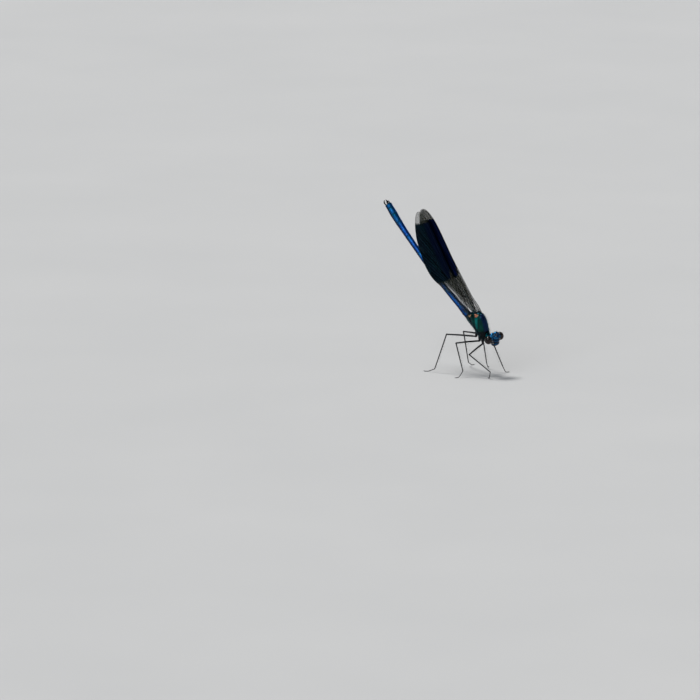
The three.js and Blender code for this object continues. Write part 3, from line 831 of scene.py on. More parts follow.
# Plates of the wing bed: (inside point, direction that is turned to each side, radii, degrees)
BACK_PLATES = [
    ((2.7, 0, 1.4), (0, 0, 1), (0.42, 0.6, 0.07), 0), ((2.2, 0, 1.2), (0, 0, 1), (0.42, 0.5, 0.12), 0),
    ((1.8, 0, 0.8), (0, 0, 1), (0.26, 0.36, 0.12), 0), ((1.35, 0, 0.5), (0, 0, 1), (0.4, 0.6, 0.07), 0),
    ((0.92, 0, 0.2), (0, 0, 1), (0.36, 0.5, 0.11), 0), ((0.55, 0, -0.1), (0, 0, 1), (0.2, 0.36, 0.12), 0),
]
SIDE_PLATES = [((2.5, 0, 1.2), (0, 0.4, 1), (0.5, 0.3, 0.07), 12),
               ((1.1, 0, 0.2), (0, 0.6, 1), (0.5, 0.34, 0.06), 12)]
FORE_HINGE = [((2.36, 0, 2.32), (0, 1, 0.1), (0.3, 0.26, 0.05), 20),
              ((2.85, 0, 2.48), (0, 1, 0.1), (0.28, 0.26, 0.05), 0),
              ((2.62, 0, 2.14), (0, 1, 0), (0.32, 0.17, 0.045), 30),
              ((2.05, 0, 2.02), (0, 1, 0.1), (0.22, 0.24, 0.045), 25)]
HIND_HINGE = [((1.02, 0, 0.66), (0, 1, 0.1), (0.26, 0.32, 0.05), 20),
              ((0.72, 0, 0.4), (0, 1, 0.1), (0.24, 0.22, 0.045), 30),
              ((1.25, 0, 0.9), (0, 1, 0.1), (0.18, 0.24, 0.045), 0)]
BREATHING_HOLES = [((4.05, 0, -0.75), (0, 1, 0), (0.2, 0.11, 0.035), 20),
                   ((6.55, 0, -0.7), (0, 1, 0), (0.14, 0.1, 0.035), 0)]


def to_side(specs, side, turned=1):
    """Plate specs with their direction on one side."""
    return [(inside, (x, y * side, z), radii, degrees * turned)
            for inside, (x, y, z), radii, degrees in specs]


def make_wing_bed(tree):
    """The plates between the wings, the coloured hinge plates and the breathing holes."""
    back = list(BACK_PLATES)
    for side in SIDES.values():
        back += to_side(SIDE_PLATES, side, side)
    back_plates = marked(plates(tree, back, 0.035, 5), "front", lambda co: 0.4)
    piece("back_plates", back_plates, TRUNK, THORAX_SKIN)
    kinds = {
        "fore_hinge": (FORE_HINGE, 0.022, 3, HINGE_ORANGE),
        "hind_hinge": (HIND_HINGE, 0.022, 3, HINGE_CREAM),
        "breathing_holes": (BREATHING_HOLES, 0.02, 2, BLACK_SKIN),
    }
    for name, side in SIDES.items():
        for kind, (specs, grain, rounds, finish) in kinds.items():
            shape = plates(tree, to_side(specs, side), grain, rounds)
            piece(f"{kind}_{name}", shape, TRUNK, finish)


# Prothorax and neck


def make_collar():
    bm = balls(((7.85, 0, -0.68), (0.42, 0.92, 0.9)), *both((7.9, 0.42, -0.22), (0.38, 0.46, 0.5)),
               ((8.32, 0, -0.5), (0.16, 0.74, 0.64)), ((7.45, 0, -0.1), (0.14, 0.82, 0.62)),
               ((8.2, 0, -0.62), (0.22, 0.62, 0.6)))
    # painted shade underneath the collar
    skin = marked(fused(bm, 0.04, 2), "under", lambda co: ease((-0.85 - co.z) / 0.4))
    hairs = hairs_on(skin, 3, 260, (0.2, 0.42), lambda p, n: n.z > -0.3)
    piece("collar", skin, TRUNK, COLLAR_SKIN, ["prothorax"])
    piece("collar_hair", hairs, TRUNK, HAIR, outwards=False)
    neck = Path([(7.9, 0, -0.45), (8.6, 0, -0.1), (9.4, 0, 0.4)])
    folds = rod(neck, lambda t: 0.36 + 0.03 * math.sin(t * 38), 32, 0.03)
    piece("neck_skin", folds, TRUNK, SOFT_SKIN, ["neck"])


# Head, in its own frame

CHEEK_SPOT = Vector((0.86, 1.12, -0.12))
OCELLI = ((0.8, 0, 1.0), (0.55, 0.32, 1.5), (0.55, -0.32, 1.5))


def eye_depth(place):
    """0 on the surface of an eye, 1 at one eye's radius outside it."""
    x, y, z = place
    away = Vector((x / EYE_RADII[0], (abs(y) - EYE_OFFSET) / EYE_RADII[1], (z - EYE_RISE) / EYE_RADII[2]))
    return away.length - 1


def skull():
    bm = balls(
        ((-0.05, 0, 0.2), (0.88, 1.5, 1.12)), ((-0.05, 0, -0.5), (0.78, 1.15, 1.1)),
        ((-0.5, 0, 0.25), (0.48, 1.2, 1.0)), *both((-0.02, 1.2, 0.17), (0.98, 0.46, 1.14)),
        ((0.05, 0, 0.9), (0.55, 1.0, 0.62)), ((0.76, 0, 0.44), (0.56, 0.84, 0.52)),
        *both((0.02, 0.58, 0.95), (0.6, 0.78, 0.75)), *both((-0.32, 0.46, 1.12), (0.32, 0.42, 0.36)),
        *both((0.5, 0.68, 0.86), (0.27, 0.27, 0.27)), *both((0.5, 0.95, -0.35), (0.42, 0.4, 0.5)),
        detail=36,
    )
    skin = fused(bm, 0.04, 3)
    for v in skin.verts:
        x, y, z = v.co
        seam = bump(y, 0.035) * ease((z - 0.3) / 0.3) * ease((0.2 - x) / 0.3)
        brow = bump(x + 0.75 * z - 1.3, 0.06) * ease((0.55 - abs(y)) / 0.2) * ease((z - 0.6) / 0.1)
        lift = 0.012 * noise.noise(v.co * 3) - 0.03 * seam - 0.035 * brow
        v.co += Vector((x, y * 0.6, z)).normalized() * lift

    # Painted shade darkens the back of the head, its underside, the lower face and the recess round each eye;
    # a dark line also runs along the groove at the top of the nose shield
    def dark(co):
        back = ease((-0.35 - co.x) / 0.3)
        low = ease((-0.7 - co.z) / 0.3)
        groove = bump(co.z - 0.02 - 0.1 * abs(co.y), 0.05) * ease((co.x - 0.6) / 0.3)
        shade = 0.6 * ease((0.75 - co.z) / 0.55)
        return max(back, low, groove, shade, bump(eye_depth(co), 0.09))

    marked(skin, "dark", dark)
    return marked(skin, "pale", lambda co: bump((Vector((co.x, abs(co.y), co.z)) - CHEEK_SPOT).length, 0.17))


def make_head():
    skin = skull()
    tree = BVHTree.FromBMesh(skin)
    hairs = hairs_on(skin, 4, 520, (0.14, 0.4), lambda p, n: abs(p.y) < 1.15 and (p.z > 0.2 or n.x > 0.2),
                     0.005, Vector((0.25, 0, 0.2)))
    piece("skull", skin, HEAD, HEAD_SKIN, ["head"])
    piece("head_hair", hairs, HEAD, HAIR, outwards=False)
    eyelets, rims = bmesh.new(), bmesh.new()
    for place in OCELLI:
        inside = Vector((0.1, place[1] * 0.5, 0.2))
        hit, normal = on_skin(tree, inside, Vector(place) - inside)
        lie = normal.to_track_quat("Z", "Y").to_matrix().to_4x4()
        ball(eyelets, hit, (0.09, 0.09, 0.09), lie, 20)
        ball(rims, hit, (0.13, 0.13, 0.045), lie, 20)
    piece("ocelli", eyelets, HEAD, OCELLUS_SKIN)
    piece("ocelli_rims", rims, HEAD, BLACK_SKIN)
    make_face()
    for name, side in SIDES.items():
        make_eye(name, side)
        make_feeler(name, side)


def face_piece(name, specs, nodes, finish, dark=lambda co: 0.0, pale=lambda co: 0.0):
    skin = fused(balls(*specs, detail=32), 0.03, 3)
    marked(skin, "dark", dark)
    marked(skin, "pale", pale)
    piece(name, skin, HEAD, finish, nodes)


LIP_BRISTLES = 30


def make_face():
    face_piece("nose_shield", [((0.96, 0, -0.24), (0.5, 0.78, 0.36)),
                               *both((0.94, 0.4, -0.27), (0.42, 0.38, 0.34))],
               ["clypeus"], HEAD_SKIN, lambda co: max(0.5, 0.8 * ease((-0.42 - co.z) / 0.12)))
    face_piece("nose_fold", [((0.92, 0, -0.66), (0.34, 0.6, 0.13)), ((0.86, 0, -0.74), (0.34, 0.66, 0.1))],
               [], BLACK_SKIN)
    face_piece("upper_lip", [((0.84, 0, -1.08), (0.36, 0.66, 0.36)),
                             *both((0.9, 0.3, -1.16), (0.3, 0.36, 0.36))],
               ["labrum"], HEAD_SKIN,
               lambda co: max(0.5, ease((-1.15 - co.z) / 0.3), bump(co.y, 0.05)))
    face_piece("lower_lip", [((0.1, 0, -1.62), (0.7, 0.68, 0.36)), ((-0.3, 0, -1.55), (0.4, 0.5, 0.3)),
                             *both((0.45, 0.28, -1.62), (0.36, 0.3, 0.26))],
               ["labium"], BLACK_SKIN)
    for name, side in SIDES.items():
        jaw = [((0.5, side * 0.88, -1.02), (0.42, 0.32, 0.55)),
               ((0.74, side * 0.74, -1.34), (0.24, 0.22, 0.3)),
               ((0.3, side * 0.98, -0.75), (0.34, 0.26, 0.3))]
        face_piece(f"jaw_{name}", jaw, [f"mandible_{name}"], HEAD_SKIN,
                   lambda co: max(0.55, ease((-0.98 - co.z) / 0.25)),
                   lambda co: 0.8 * bump(co.z + 0.78, 0.13) * ease((co.x - 0.3) / 0.3))
        rim = lathe([(-0.08, 0), (-0.08, 0.9), (-0.03, 0.94), (0.02, 0.94), (0.06, 0.9), (0.07, 0)], 96)
        place = Matrix.Translation((0, side * (EYE_OFFSET - 0.38), EYE_RISE))
        place = place @ Matrix.Diagonal((1.02, 1, 1.06, 1))
        bmesh.ops.transform(rim, matrix=place @ turn("Z", 90), verts=rim.verts)
        piece(f"eye_rim_{name}", rim, HEAD, BLACK_SKIN)
    draw = random.Random(5)
    fringe = []
    for i in range(LIP_BRISTLES):
        y = lerp(-0.62, 0.62, i / (LIP_BRISTLES - 1))
        root = Vector((1.06 - 0.25 * y * y, y, -1.42 + 0.25 * y * y))
        lean = Vector((0.35, 0.2 * y, -1)).normalized()
        fringe.append(bristle(root, lean, draw.uniform(0.14, 0.26), 0.007, Vector()))
    piece("lip_fringe", strands(fringe), HEAD, HAIR, outwards=False)


FACET_TOP, FACET_FOOT = 1.0006, 0.9998  # in eye radii


def make_eye(name, side):
    """A compound eye whose facets are real small domes."""
    bm = bmesh.new()
    bmesh.ops.create_icosphere(bm, subdivisions=6, radius=1)
    facets = len(bm.verts)
    bmesh.ops.subdivide_edges(bm, edges=bm.edges, cuts=1, use_grid_fill=True)
    layer = bm.verts.layers.float.new("rust")
    for i, v in enumerate(bm.verts):
        lift = FACET_TOP if i < facets else FACET_FOOT
        direction = v.co.normalized()
        v[layer] = 0.5 * ease((-direction.z - 0.05) / 0.7) + 0.2 * ease((direction.x - 0.3) / 0.7)
        v.co = Vector(a * b for a, b in zip(direction * lift, EYE_RADII))
        v.co += Vector((0, side * EYE_OFFSET, EYE_RISE))
    piece(f"compound_eye_{name}", bm, HEAD, EYE_SKIN, [f"eye_{name}"], crease=60)


def make_feeler(name, side):
    line = Path([(0.5, side * 0.68, 0.9), (0.74, side * 0.76, 1.06), (1.06, side * 0.9, 1.26),
                 (1.6, side * 1.12, 1.74), (2.2, side * 1.4, 2.25)])

    def thickness(t):
        if t < 0.16:
            return 0.13 + 0.03 * bump(t - 0.08, 0.06)
        if t < 0.42:
            return lerp(0.085, 0.075, (t - 0.16) / 0.26) + 0.015 * bump(t - 0.38, 0.03)
        bristle_radius = lerp(0.04, 0.014, (t - 0.42) / 0.58)
        return bristle_radius + 0.008 * bump(t - 0.6, 0.01) + 0.006 * bump(t - 0.78, 0.01)

    piece(f"feeler_{name}", rod(line, thickness, 14, 0.03), HEAD, BLACK_SKIN,
          [f"antenna_{name}"])


# Legs: hips in the trunk's frame, knees, ankles and toes in the frame of the ground

HIPS = {
    "fore": ((7.0, 0.5, -1.9), (7.85, 0.62, -2.95)),
    "mid": ((6.2, 0.7, -1.9), (6.75, 0.85, -3.0)),
    "hind": ((4.9, 0.75, -1.7), (5.35, 0.95, -2.75)),
}
LEGS = {
    "fore_right": ((3.15, -3.95, 5.5), (9.53, -3.5, 1.86), (8.8, -3.0)),
    "mid_right": ((0.02, -5.35, 8.25), (2.95, -6.2, 1.65), (2.3, -7.4)),
    "hind_right": ((-3.6, -4.65, 9.9), (-6.3, -6.0, 0.89), (-8.5, -6.6)),
    "fore_left": ((3.8, 4.6, 7.42), (6.84, 4.8, 1.67), (7.5, 5.5)),
    "mid_left": ((0.12, 5.1, 8.5), (0.77, 6.0, 1.4), (0.2, 7.3)),
    "hind_left": ((-4.0, 2.6, 9.4), (-4.3, 5.0, 1.05), (-4.4, 6.9)),
}
FEMUR_RADII = (0.23, 0.17)
TIBIA_RADII = (0.155, 0.115)
TARSUS_RADIUS = 0.095
SPINE_RADIUS = 0.017


def spines(draw, start, end, radius, length, count, sides, sweep):
    """Two rows of long bristles along a limb; each points out of a side direction."""
    along = (end - start).normalized()
    lines = []
    for row in sides:
        across = (row - along * row.dot(along)).normalized()
        for i in range(count):
            t = lerp(0.12, 0.95, (i + draw.uniform(0.3, 0.7)) / count)
            root = start.lerp(end, t) + across * radius * 0.7
            size = length * draw.uniform(0.8, 1.1) * (0.75 + 0.5 * math.sin(t * math.pi))
            lean = (across + along * 0.55 + Vector((0, 0, draw.uniform(-0.1, 0.1)))).normalized()
            lines.append(bristle(root, lean, size, SPINE_RADIUS, along * sweep, 4))
    return lines


def make_leg(name, knee, ankle, toe):
    """One leg: hip, thigh, shin and foot, with their spines, fine hair and claws."""
    draw = random.Random(name)
    pair, side_name = name.split("_")
    side = SIDES[side_name]
    socket, hip = [trunk_turn @ Vector((x, side * y, z)) for x, y, z in HIPS[pair]]
    knee, ankle = Vector(knee), Vector(ankle)
    toe = Vector((*toe, TARSUS_RADIUS + 0.01))
    up = Vector((0.3, 0.2, 1))
    hip_joint = hip.lerp(knee, 0.06)
    coxa = rod(Path([socket, socket.lerp(hip, 0.5), hip], up),
               lambda t: lerp(0.5, 0.3, t) - 0.05 * bump(t - 0.75, 0.1), 28, 0.06)
    ring = bmesh.new()
    ball(ring, hip + (knee - hip).normalized() * 0.12, (0.27, 0.27, 0.27), detail=24)
    piece(f"hip_{name}", merged(coxa, ring), GROUND, LEG_SKIN, [f"coxa_{name}"])

    def femur_radius(t):
        return lerp(*FEMUR_RADII, t) + 0.03 * bump(t - 1, 0.035) - 0.03 * bump(t - 0.03, 0.03)

    def tibia_radius(t):
        return lerp(*TIBIA_RADII, t) + 0.02 * bump(t - 1, 0.03) + 0.02 * bump(t, 0.03)

    bow = (knee - hip).cross(ankle - knee).cross(knee - hip).normalized() * -0.06
    thigh = rod(Path([hip_joint, hip_joint.lerp(knee, 0.5) + bow, knee], up), femur_radius, 20, 0.12)
    shin = rod(Path([knee, knee.lerp(ankle, 0.5) - bow, ankle], up), tibia_radius, 16, 0.12)
    inner = (ankle - hip).normalized()
    cross = (knee - hip).cross(ankle - knee).normalized() * 0.7
    rows = [(inner + cross).normalized(), (inner - cross).normalized()]
    thigh_spines = spines(draw, hip_joint, knee, FEMUR_RADII[1], 0.6, 11, rows, 0.1)
    shin_spines = spines(draw, knee, ankle, TIBIA_RADII[1], 0.85, 13, [cross - inner, -inner - cross], 0.12)
    hairs = []
    for limb, along in ((thigh, knee - hip), (shin, ankle - knee)):
        sweep = along.normalized() * 0.5
        hairs.append(hairs_on(limb, name, 90, (0.07, 0.14), lambda p, n: True, 0.005, sweep))
    piece(f"leg_hair_{name}", merged(*hairs), GROUND, HAIR, outwards=False)
    piece(f"femur_shell_{name}", merged(thigh, strands(thigh_spines)), GROUND, LEG_SKIN,
          [f"femur_{name}"])
    piece(f"tibia_shell_{name}", merged(shin, strands(shin_spines)), GROUND, LEG_SKIN,
          [f"tibia_{name}"])
    outwards = toe - ankle
    outwards.z = 0
    outwards.normalize()
    landing = ankle.lerp(toe, 0.7)
    landing.z = lerp(ankle.z, toe.z, 0.86)
    end = toe + outwards * 0.55
    foot = Path([ankle, landing, toe, end])

    def foot_radius(t):
        joints = 0.025 * (bump(t - 0.22, 0.03) + bump(t - 0.5, 0.03) + bump(t - 0.96, 0.04))
        return lerp(0.1, 0.07, t) + joints

    sole = rod(foot, foot_radius, 14, 0.05)
    across = outwards.cross(Vector((0, 0, 1)))
    base = end + outwards * 0.02
    claws = []
    for sign in (1, -1):
        claw = []
        for t in (0, 0.2, 0.4, 0.6, 0.8, 1):
            arch = Vector((0, 0, 0.08 * math.sin(t * 3.1) - 0.05 * t))
            place = base + outwards * (0.3 * t) + across * (sign * 0.2 * math.sin(t * 2)) + arch
            claw.append((place, 0.035 * (1 - 0.8 * t)))
        claws.append(claw)
    piece(f"foot_{name}", merged(sole, strands(claws, 1)), GROUND, LEG_SKIN,
          [f"tarsus_{name}"])


# Wings: share runs from the root to the tip and v from the trailing edge (0) to the front edge (1)

FRONT_EDGE = graph([(0, 0.02), (0.17, 0.06), (0.35, 0.085), (0.5, 0.113), (0.65, 0.172), (0.79, 0.22),
                    (0.88, 0.215), (0.94, 0.165), (0.965, 0.125), (0.985, 0.07), (0.996, 0.015),
                    (1, -0.045)])
REAR_EDGE = graph([(0, -0.1), (0.03, -0.19), (0.06, -0.235), (0.1, -0.275), (0.2, -0.385), (0.3, -0.55),
                   (0.4, -0.75), (0.47, -0.84), (0.55, -0.86), (0.6, -0.84), (0.7, -0.76), (0.8, -0.64),
                   (0.9, -0.46), (0.95, -0.33), (0.975, -0.245), (0.99, -0.17), (0.997, -0.12), (1, -0.065)])
# sheet and hinge are the distances from the middle plane of the wing and of its root
# gleam sets how strong the painted sheen on the front strip of the band is
WINGS = {
    "forewing": {"root": (2.1, 0, 2.85), "pitch": 18.0, "length": 29.5, "width": 8.0, "sheet": 0.16,
                 "hinge": 0.8, "lean": 0.0, "gleam": 1.0, "seat": ((1.85, 0, 2.05), (2.62, 0, 2.6))},
    "hindwing": {"root": (0.85, 0, 1.15), "pitch": 19.2, "length": 28.8, "width": 8.25, "sheet": 0.86,
                 "hinge": 1.15, "lean": 0.06, "gleam": 0.3, "seat": ((0.68, 0, 0.25), (1.2, 0, 0.9))},
}
PLEAT = 0.09  # how far the main veins lie before or behind the sheet
WIDEST_FIELD = 0.95  # a field between long veins that is wider gets one more vein
CROSS_VEIN_RADIUS = 0.015
SEAT_SHARE = 0.06  # share of the wing that bends down to its seat on the thorax

# Main veins: where each lies across the wing by its share along it, its fold (1 ridge, -1 valley), its radius
MAIN_VEINS = [
    ([(0, 0.62), (0.05, 0.72), (0.12, 0.87), (0.3, 0.945), (0.42, 0.985), (0.45, 1.0)], -1, 0.04),
    ([(0, 0.48), (0.05, 0.58), (0.12, 0.76), (0.25, 0.885), (0.44, 0.93), (0.7, 0.94), (0.9, 0.95),
      (0.98, 1.0)], 1, 0.055),
    ([(0.14, 0.64), (0.25, 0.81), (0.44, 0.865), (0.7, 0.88), (0.88, 0.84), (0.995, 0.55)], -1, 0.036),
    ([(0.55, 0.87), (0.7, 0.79), (0.82, 0.62), (0.92, 0.32), (0.98, 0.0)], 0.6, 0.027),
    ([(0.42, 0.86), (0.55, 0.82), (0.7, 0.68), (0.82, 0.42), (0.9, 0.15), (0.94, 0.0)], -0.6, 0.027),
    ([(0.25, 0.81), (0.4, 0.77), (0.55, 0.68), (0.7, 0.47), (0.8, 0.22), (0.87, 0.0)], 0.7, 0.027),
    ([(0.2, 0.745), (0.3, 0.735), (0.45, 0.65), (0.58, 0.49), (0.7, 0.24), (0.78, 0.0)], -0.7, 0.027),
    ([(0.14, 0.58), (0.25, 0.66), (0.4, 0.57), (0.52, 0.41), (0.62, 0.19), (0.69, 0.0)], 0.8, 0.03),
    ([(0, 0.33), (0.06, 0.4), (0.14, 0.52), (0.25, 0.5), (0.4, 0.35), (0.52, 0.16), (0.6, 0.0)], -0.8, 0.036),
    ([(0.17, 0.42), (0.28, 0.31), (0.38, 0.15), (0.46, 0.0)], 0.8, 0.03),
    ([(0, 0.14), (0.08, 0.18), (0.16, 0.2), (0.24, 0.12), (0.32, 0.0)], -0.5, 0.028),
]
WING_STATIONS = 240
EDGE_STEPS = 120
# How much thicker the veins are at the root
ROOT_SWELL = graph([(0, 2.1), (0.012, 1.9), (0.03, 1.35), (0.055, 1.05), (0.08, 1.0), (1, 1.0)])


def spread(t):
    """Shares along a wing that lie closer together towards its tip."""
    return math.sin(t * math.pi / 2) ** 1.2


class Wing:
    """One folded wing: its sheet, its net of veins and the band on it."""

    def __init__(self, kind, side):
        spec = WINGS[kind]
        self.side, self.length, self.width = side, spec["length"], spec["width"]
        self.root = Vector(spec["root"])
        self.sheet, self.hinge = spec["sheet"], spec["hinge"]
        self.lean, self.gleam = spec["lean"], spec["gleam"]
        self.rear_seat, self.front_seat = [Vector(seat) for seat in spec["seat"]]
        self.draw = random.Random(f"{kind} {side}")
        angle = math.radians(spec["pitch"])
        self.along = Vector((-math.cos(angle), 0, math.sin(angle)))
        self.across = Vector((math.sin(angle), 0, math.cos(angle)))
        self.veins = []
        for points, fold, radius in MAIN_VEINS:
            self.veins.append({"from": points[0][0], "to": points[-1][0], "at": graph(points), "fold": fold,
                               "radius": radius})
        self.fold_table = [self.folds_at(i / WING_STATIONS) for i in range(WING_STATIONS + 1)]

    def folds_at(self, share):
        """Sorted (v, height) of the folds that cross the wing at this share."""
        size = PLEAT * (1 - 0.5 * share)
        rows = [(0.0, 0.0), (1.0, 0.0)]
        for vein in self.veins:
            if vein["from"] <= share <= vein["to"]:
                v = vein["at"](share)
                if 0.02 < v < 0.985:
                    born = 1 if vein["from"] == 0 else ease((share - vein["from"]) / 0.08)
                    rows.append((v, vein["fold"] * size * born * min(1, v / 0.15)))
        return sorted(rows)

    def pleat(self, share, v):
        place = min(max(share, 0), 1) * WING_STATIONS
        low = min(int(place), WING_STATIONS - 1)
        heights = []
        for rows in (self.fold_table[low], self.fold_table[low + 1]):
            height = 0.0
            for (va, ha), (vb, hb) in zip(rows, rows[1:]):
                if va <= v <= vb:
                    height = lerp(ha, hb, ease((v - va) / max(vb - va, 1e-6)))
                    break
            heights.append(height)
        return lerp(*heights, place - low)

    def chord(self, share):
        return self.width * (FRONT_EDGE(share) - REAR_EDGE(share))

    def offset(self, share, v):
        """Distance in front of the wing's own axis."""
        lean = self.lean * ease((share - 0.8) / 0.2)
        return self.width * (lerp(REAR_EDGE(share), FRONT_EDGE(share), v) + lean)

    def point(self, share, v):
        place = self.root + self.along * (share * self.length) + self.across * self.offset(share, v)
        rest = lerp(self.hinge, self.sheet, ease(share / 0.16))
        cup = 0.12 * math.sin(math.pi * min(max(v, 0), 1)) * ease(share / 0.3)
        place.y = self.side * (rest + self.pleat(share, v) + cup)
        if share < SEAT_SHARE:
            seat = self.rear_seat.lerp(self.front_seat, min(max(v, 0), 1))
            seat.y = self.side * (self.hinge - 0.1)
            place = seat.lerp(place, ease(share / SEAT_SHARE))
        return place

    def band(self, share, v):
        """Depth inside the dark band in millimetres, below 0 outside it."""
        near = 0.35 + 0.03 * (1 - v) ** 2 + 0.06 * ease((v - 0.8) / 0.2)
        far = 0.93 - 0.05 * v
        return min(share - near, far - share) * self.length

    def slope(self, vein, share):
        step = 0.004
        after, before = share + step, share - step
        rise = self.offset(after, vein(after)) - self.offset(before, vein(before))
        return rise / (2 * step * self.length)

    def membrane(self):
        bm = bmesh.new()
        bmesh.ops.create_grid(bm, x_segments=170, y_segments=44, size=1)
        layers = new_layers(bm, "band", "painted_sheen", "smoke")
        for v in bm.verts:
            share = spread((v.co.x + 1) / 2)
            row = (v.co.y + 1) / 2
            v[layers["band"]] = self.band(share, row)
            # painted sheen on the front strip, full on the forewing and weaker on the hindwing
            v[layers["painted_sheen"]] = ease((row - 0.6) / 0.2) * self.gleam
            v[layers["smoke"]] = ease((0.45 - share) / 0.1)
            v.co = self.point(share, row)
        bmesh.ops.solidify(bm, geom=bm.faces[:], thickness=MEMBRANE)
        return bm

    def full_net(self):
        """All long veins: the main ones and those that fill the wide fields between them."""
        net = list(self.veins)
        to_rear = [vein for vein in self.veins if vein["at"](vein["to"]) < 0.5]
        fans = [self.veins[2]] + sorted(to_rear, key=lambda vein: -vein["to"])
        for upper, lower in zip(fans, fans[1:]):
            net += self.fill(upper, lower, 3)
        return net

    def fill(self, upper, lower, depth):
        """Veins half way between two others, from where their field grows too wide."""
        start = max(upper["from"], lower["from"])
        end = (min(upper["to"], 0.985) + lower["to"]) / 2
        at_upper, at_lower = upper["at"], lower["at"]

        def between(share):
            return (at_upper(share) + at_lower(share)) / 2

        share = start
        while share < end:
            gap = (at_upper(share) - max(at_lower(share), 0)) * self.chord(share)
            slant = math.hypot(1, self.slope(between, share))
            if gap / slant > WIDEST_FIELD:
                break
            share += 0.005
        if depth == 0 or end - share < 0.05:
            return []
        crossing = share
        while crossing < end and between(crossing) > 0.0:
            crossing += 0.002
        vein = {"from": share, "to": min(crossing, 0.99), "at": between, "fold": 0, "radius": 0.021}
        return [vein] + self.fill(upper, vein, depth - 1) + self.fill(vein, lower, depth - 1)

    def line(self, vein):
        count = max(4, round((vein["to"] - vein["from"]) * 90))
        points = []
        for i in range(count + 1):
            share = lerp(vein["from"], vein["to"], i / count)
            v = min(max(vein["at"](share), 0), 1)
            radius = vein["radius"] * lerp(1.15, 0.6, i / count) * ROOT_SWELL(share)
            points.append((self.point(share, v), radius))
        return points

    def cross_veins(self, net):
        """Short veins between neighbours, square to them, about as far apart as the veins are."""
        lines = []
        travel = {}
        step = 0.0025
        share = 0.03
        while share < 0.985:
            rows = [(1.0, -1), (0.0, -2)]
            for i, vein in enumerate(net):
                if vein["from"] <= share <= vein["to"]:
                    v = vein["at"](share)
                    if 0.0 < v < 1.0:
                        rows.append((v, i))
            rows.sort(reverse=True)
            for (va, a), (vb, b) in zip(rows, rows[1:]):
                gap = (va - vb) * self.chord(share)
                upper = net[a]["at"] if a >= 0 else (lambda s: 1.0)
                lower = net[b]["at"] if b >= 0 else (lambda s: 0.0)
                slant = (self.slope(upper, share) + self.slope(lower, share)) / 2
                lean = math.hypot(1, slant)
                width = gap / lean
                pitch = min(max(0.62 * width + 0.1, 0.26), 0.5)
                key = (a, b)
                travel[key] = travel.get(key, self.draw.uniform(0, pitch)) + step * self.length * lean
                if travel[key] < pitch or width < 0.08:
                    continue
                travel[key] = self.draw.uniform(-0.12, 0.12) * pitch
                far = share + slant * gap / (lean * lean) / self.length
                if not 0.01 < far < 0.99:
                    continue
                end_v = min(max(lower(far), 0), 1)
                points = []
                for t in (0, 0.5, 1):
                    s, v = lerp(share, far, t), lerp(va, end_v, t)
                    points.append((self.point(s, v), CROSS_VEIN_RADIUS))
                lines.append(points)
            share += step
        return lines

    def net(self):
        veins = self.full_net()
        long_lines = [self.line(vein) for vein in veins]
        costa = []
        rear = []
        for i in range(EDGE_STEPS + 1):
            share = spread(i / EDGE_STEPS)
            costa.append((self.point(share, 1), lerp(0.068, 0.035, share) * ROOT_SWELL(share)))
            rear.append((self.point(share, 0), 0.024))
        rim = [(self.point(1, i / 6), 0.03) for i in range(7)]
        long_net = strands(long_lines + [costa, rear, rim], 1)
        marked(long_net, "long", lambda co: ease((0.8 - self.share_and_row(co)[1]) / 0.3))
        bm = merged(long_net, marked(strands(self.cross_veins(veins)), "long", lambda co: 0.0))
        return marked(bm, "band", lambda co: self.band(*self.share_and_row(co)))

    def share_and_row(self, place):
        offset = place - self.root
        share = offset.dot(self.along) / self.length
        share = min(max(share, 0), 1)
        reach = offset.dot(self.across) / self.width - self.lean * ease((share - 0.8) / 0.2)
        v = (reach - REAR_EDGE(share)) / max(FRONT_EDGE(share) - REAR_EDGE(share), 0.02)
        return share, min(max(v, 0), 1)

    def knuckles(self):
        """The plates at the root that the long veins grow out of."""
        bm = bmesh.new()
        line = self.front_seat - self.rear_seat
        seat = turn("Y", -math.degrees(math.atan2(line.z, line.x)))
        ball(bm, self.point(0.012, 0.74), (0.36, 0.17, 0.2), seat)
        ball(bm, self.point(0.012, 0.24), (0.34, 0.15, 0.17), seat)
        for v, radius in ((0.97, 0.15), (0.55, 0.13), (0.12, 0.1)):
            ball(bm, self.point(0.02, v), (radius, 0.8 * radius, 1.3 * radius), seat)
        return fused(bm, 0.03, 3)


def make_wings():
    for kind in WINGS:
        for name, side in SIDES.items():
            wing = Wing(kind, side)
            piece(f"{kind}_membrane_{name}", wing.membrane(), TRUNK, WING_SKIN,
                  [f"{kind}_{name}"], crease=70)
            piece(f"{kind}_veins_{name}", wing.net(), TRUNK, VEIN_SKIN, crease=50,
                  outwards=False)
            piece(f"{kind}_root_{name}", wing.knuckles(), TRUNK, BLACK_SKIN)


# Stage: camera, lights and floor

VIEW_AZIMUTH, VIEW_ELEVATION = 40, 12
PHOTO_SCALE = 4.0  # pixels of the photo to a millimetre
FRAME_PIXELS = 700
BASE_PIXEL = (469.5, 313)  # where the base of the abdomen lies in the photo
CAMERA_DISTANCE = 1.5
SENSOR = 36


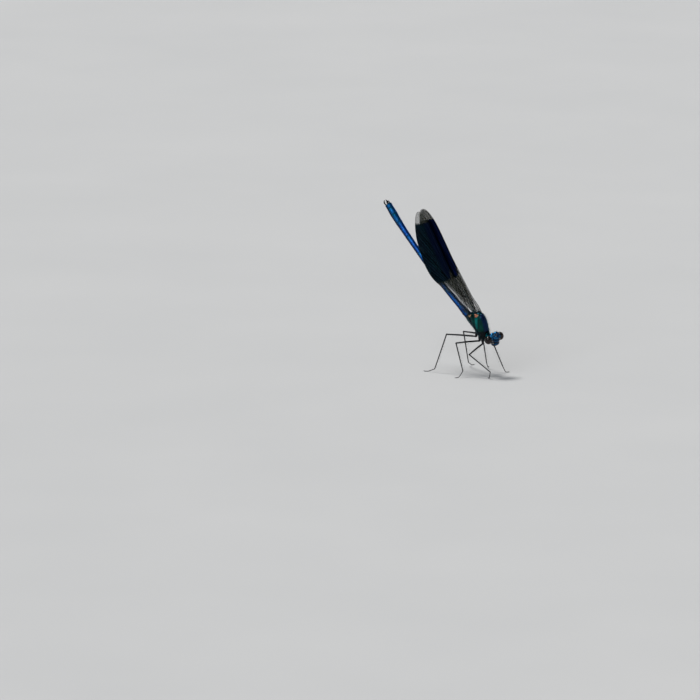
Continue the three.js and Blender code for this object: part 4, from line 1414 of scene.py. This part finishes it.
def make_camera():
    azimuth, elevation = math.radians(VIEW_AZIMUTH), math.radians(VIEW_ELEVATION)
    back = Vector((math.sin(azimuth) * math.cos(elevation), -math.cos(azimuth) * math.cos(elevation),
                   math.sin(elevation)))
    right = Vector((math.cos(azimuth), math.sin(azimuth), 0))
    up = back.cross(right)
    half = FRAME_PIXELS / 2
    aim = TRUNK.translation.copy()
    aim += right * ((half - BASE_PIXEL[0]) / PHOTO_SCALE * MM)
    aim += up * ((BASE_PIXEL[1] - half) / PHOTO_SCALE * MM)
    data = bpy.data.cameras.new("camera")
    data.sensor_width = SENSOR
    data.lens = SENSOR * CAMERA_DISTANCE / (FRAME_PIXELS / PHOTO_SCALE * MM)
    data.clip_start, data.clip_end = 0.01, 20
    camera = bpy.data.objects.new("camera", data)
    camera.location = aim + back * CAMERA_DISTANCE
    camera.rotation_euler = back.to_track_quat("Z", "Y").to_euler()
    bpy.context.scene.collection.objects.link(camera)
    bpy.context.scene.camera = camera


# Each light's strength, where it stands, how wide it looks in degrees, and its colour
LIGHTS = {
    "key": (2.55, (-0.42, -0.02, 0.9), 17, (1.0, 0.98, 0.95)),
    "fill": (1.25, (0.05, -0.75, 0.66), 48, (0.95, 0.97, 1.0)),
}
FLOOR_REACH, FLOOR_BEND = 1.9, 0.8  # metres of flat floor, then the radius of its turn upwards


def make_light(name, strength, place, width, colour):
    data = bpy.data.lights.new(name, "SUN")
    data.energy = strength
    data.color = colour
    data.angle = math.radians(width)
    light = bpy.data.objects.new(name, data)
    light.location = place
    light.rotation_euler = Vector(place).to_track_quat("Z", "Y").to_euler()
    bpy.context.scene.collection.objects.link(light)


def make_stage():
    for name, light in LIGHTS.items():
        make_light(name, *light)
    world = bpy.data.worlds.new("studio")
    world.use_nodes = True
    sky = world.node_tree.nodes["Background"]
    feed(world.node_tree, sky, {"Color": (0.86, 0.9, 0.95, 1), "Strength": 0.16})
    bpy.context.scene.world = world
    bm = bmesh.new()
    profile = [(0, 0), (FLOOR_REACH, 0)]
    for bend in (0.2, 0.4, 0.6, 0.8, 1.0, 1.2, 1.4, 1.57):
        profile.append((FLOOR_REACH + math.sin(bend) * FLOOR_BEND, FLOOR_BEND - math.cos(bend) * FLOOR_BEND))
    profile.append((2.7, 0.9))
    points = [bm.verts.new((x, 0, z)) for x, z in profile]
    lines = [bm.edges.new(pair) for pair in zip(points, points[1:])]
    bmesh.ops.spin(bm, geom=points + lines, cent=(0, 0, 0), axis=(0, 0, 1), angle=math.tau, steps=72,
                   use_merge=True)
    bmesh.ops.remove_doubles(bm, verts=bm.verts, dist=WELD)
    bmesh.ops.recalc_face_normals(bm, faces=bm.faces)
    mesh = bpy.data.meshes.new("floor")
    bm.to_mesh(mesh)
    bm.free()
    mesh.shade_smooth()
    material, tree, shader = new_material("floor paper")
    place = object_place(tree)
    tone = noise_at(tree, place, 60, 2.0)
    colour = mix(tree, tone, (0.49, 0.498, 0.506), (0.535, 0.54, 0.545))
    feed(tree, shader, {"Base Color": colour, "Roughness": 0.85})
    mesh.materials.append(material)
    floor = bpy.data.objects.new("floor", mesh)
    bpy.context.scene.collection.objects.link(floor)
    bpy.context.scene.view_settings.view_transform = "Standard"
    bpy.context.scene.cycles.transparent_max_bounces = 32


make_camera()
make_stage()
tip_distance = make_abdomen()
make_tip(tip_distance)
make_thorax()
make_collar()
make_head()
for leg_name, (knee, ankle, toe) in LEGS.items():
    make_leg(leg_name, knee, ankle, toe)
make_wings()
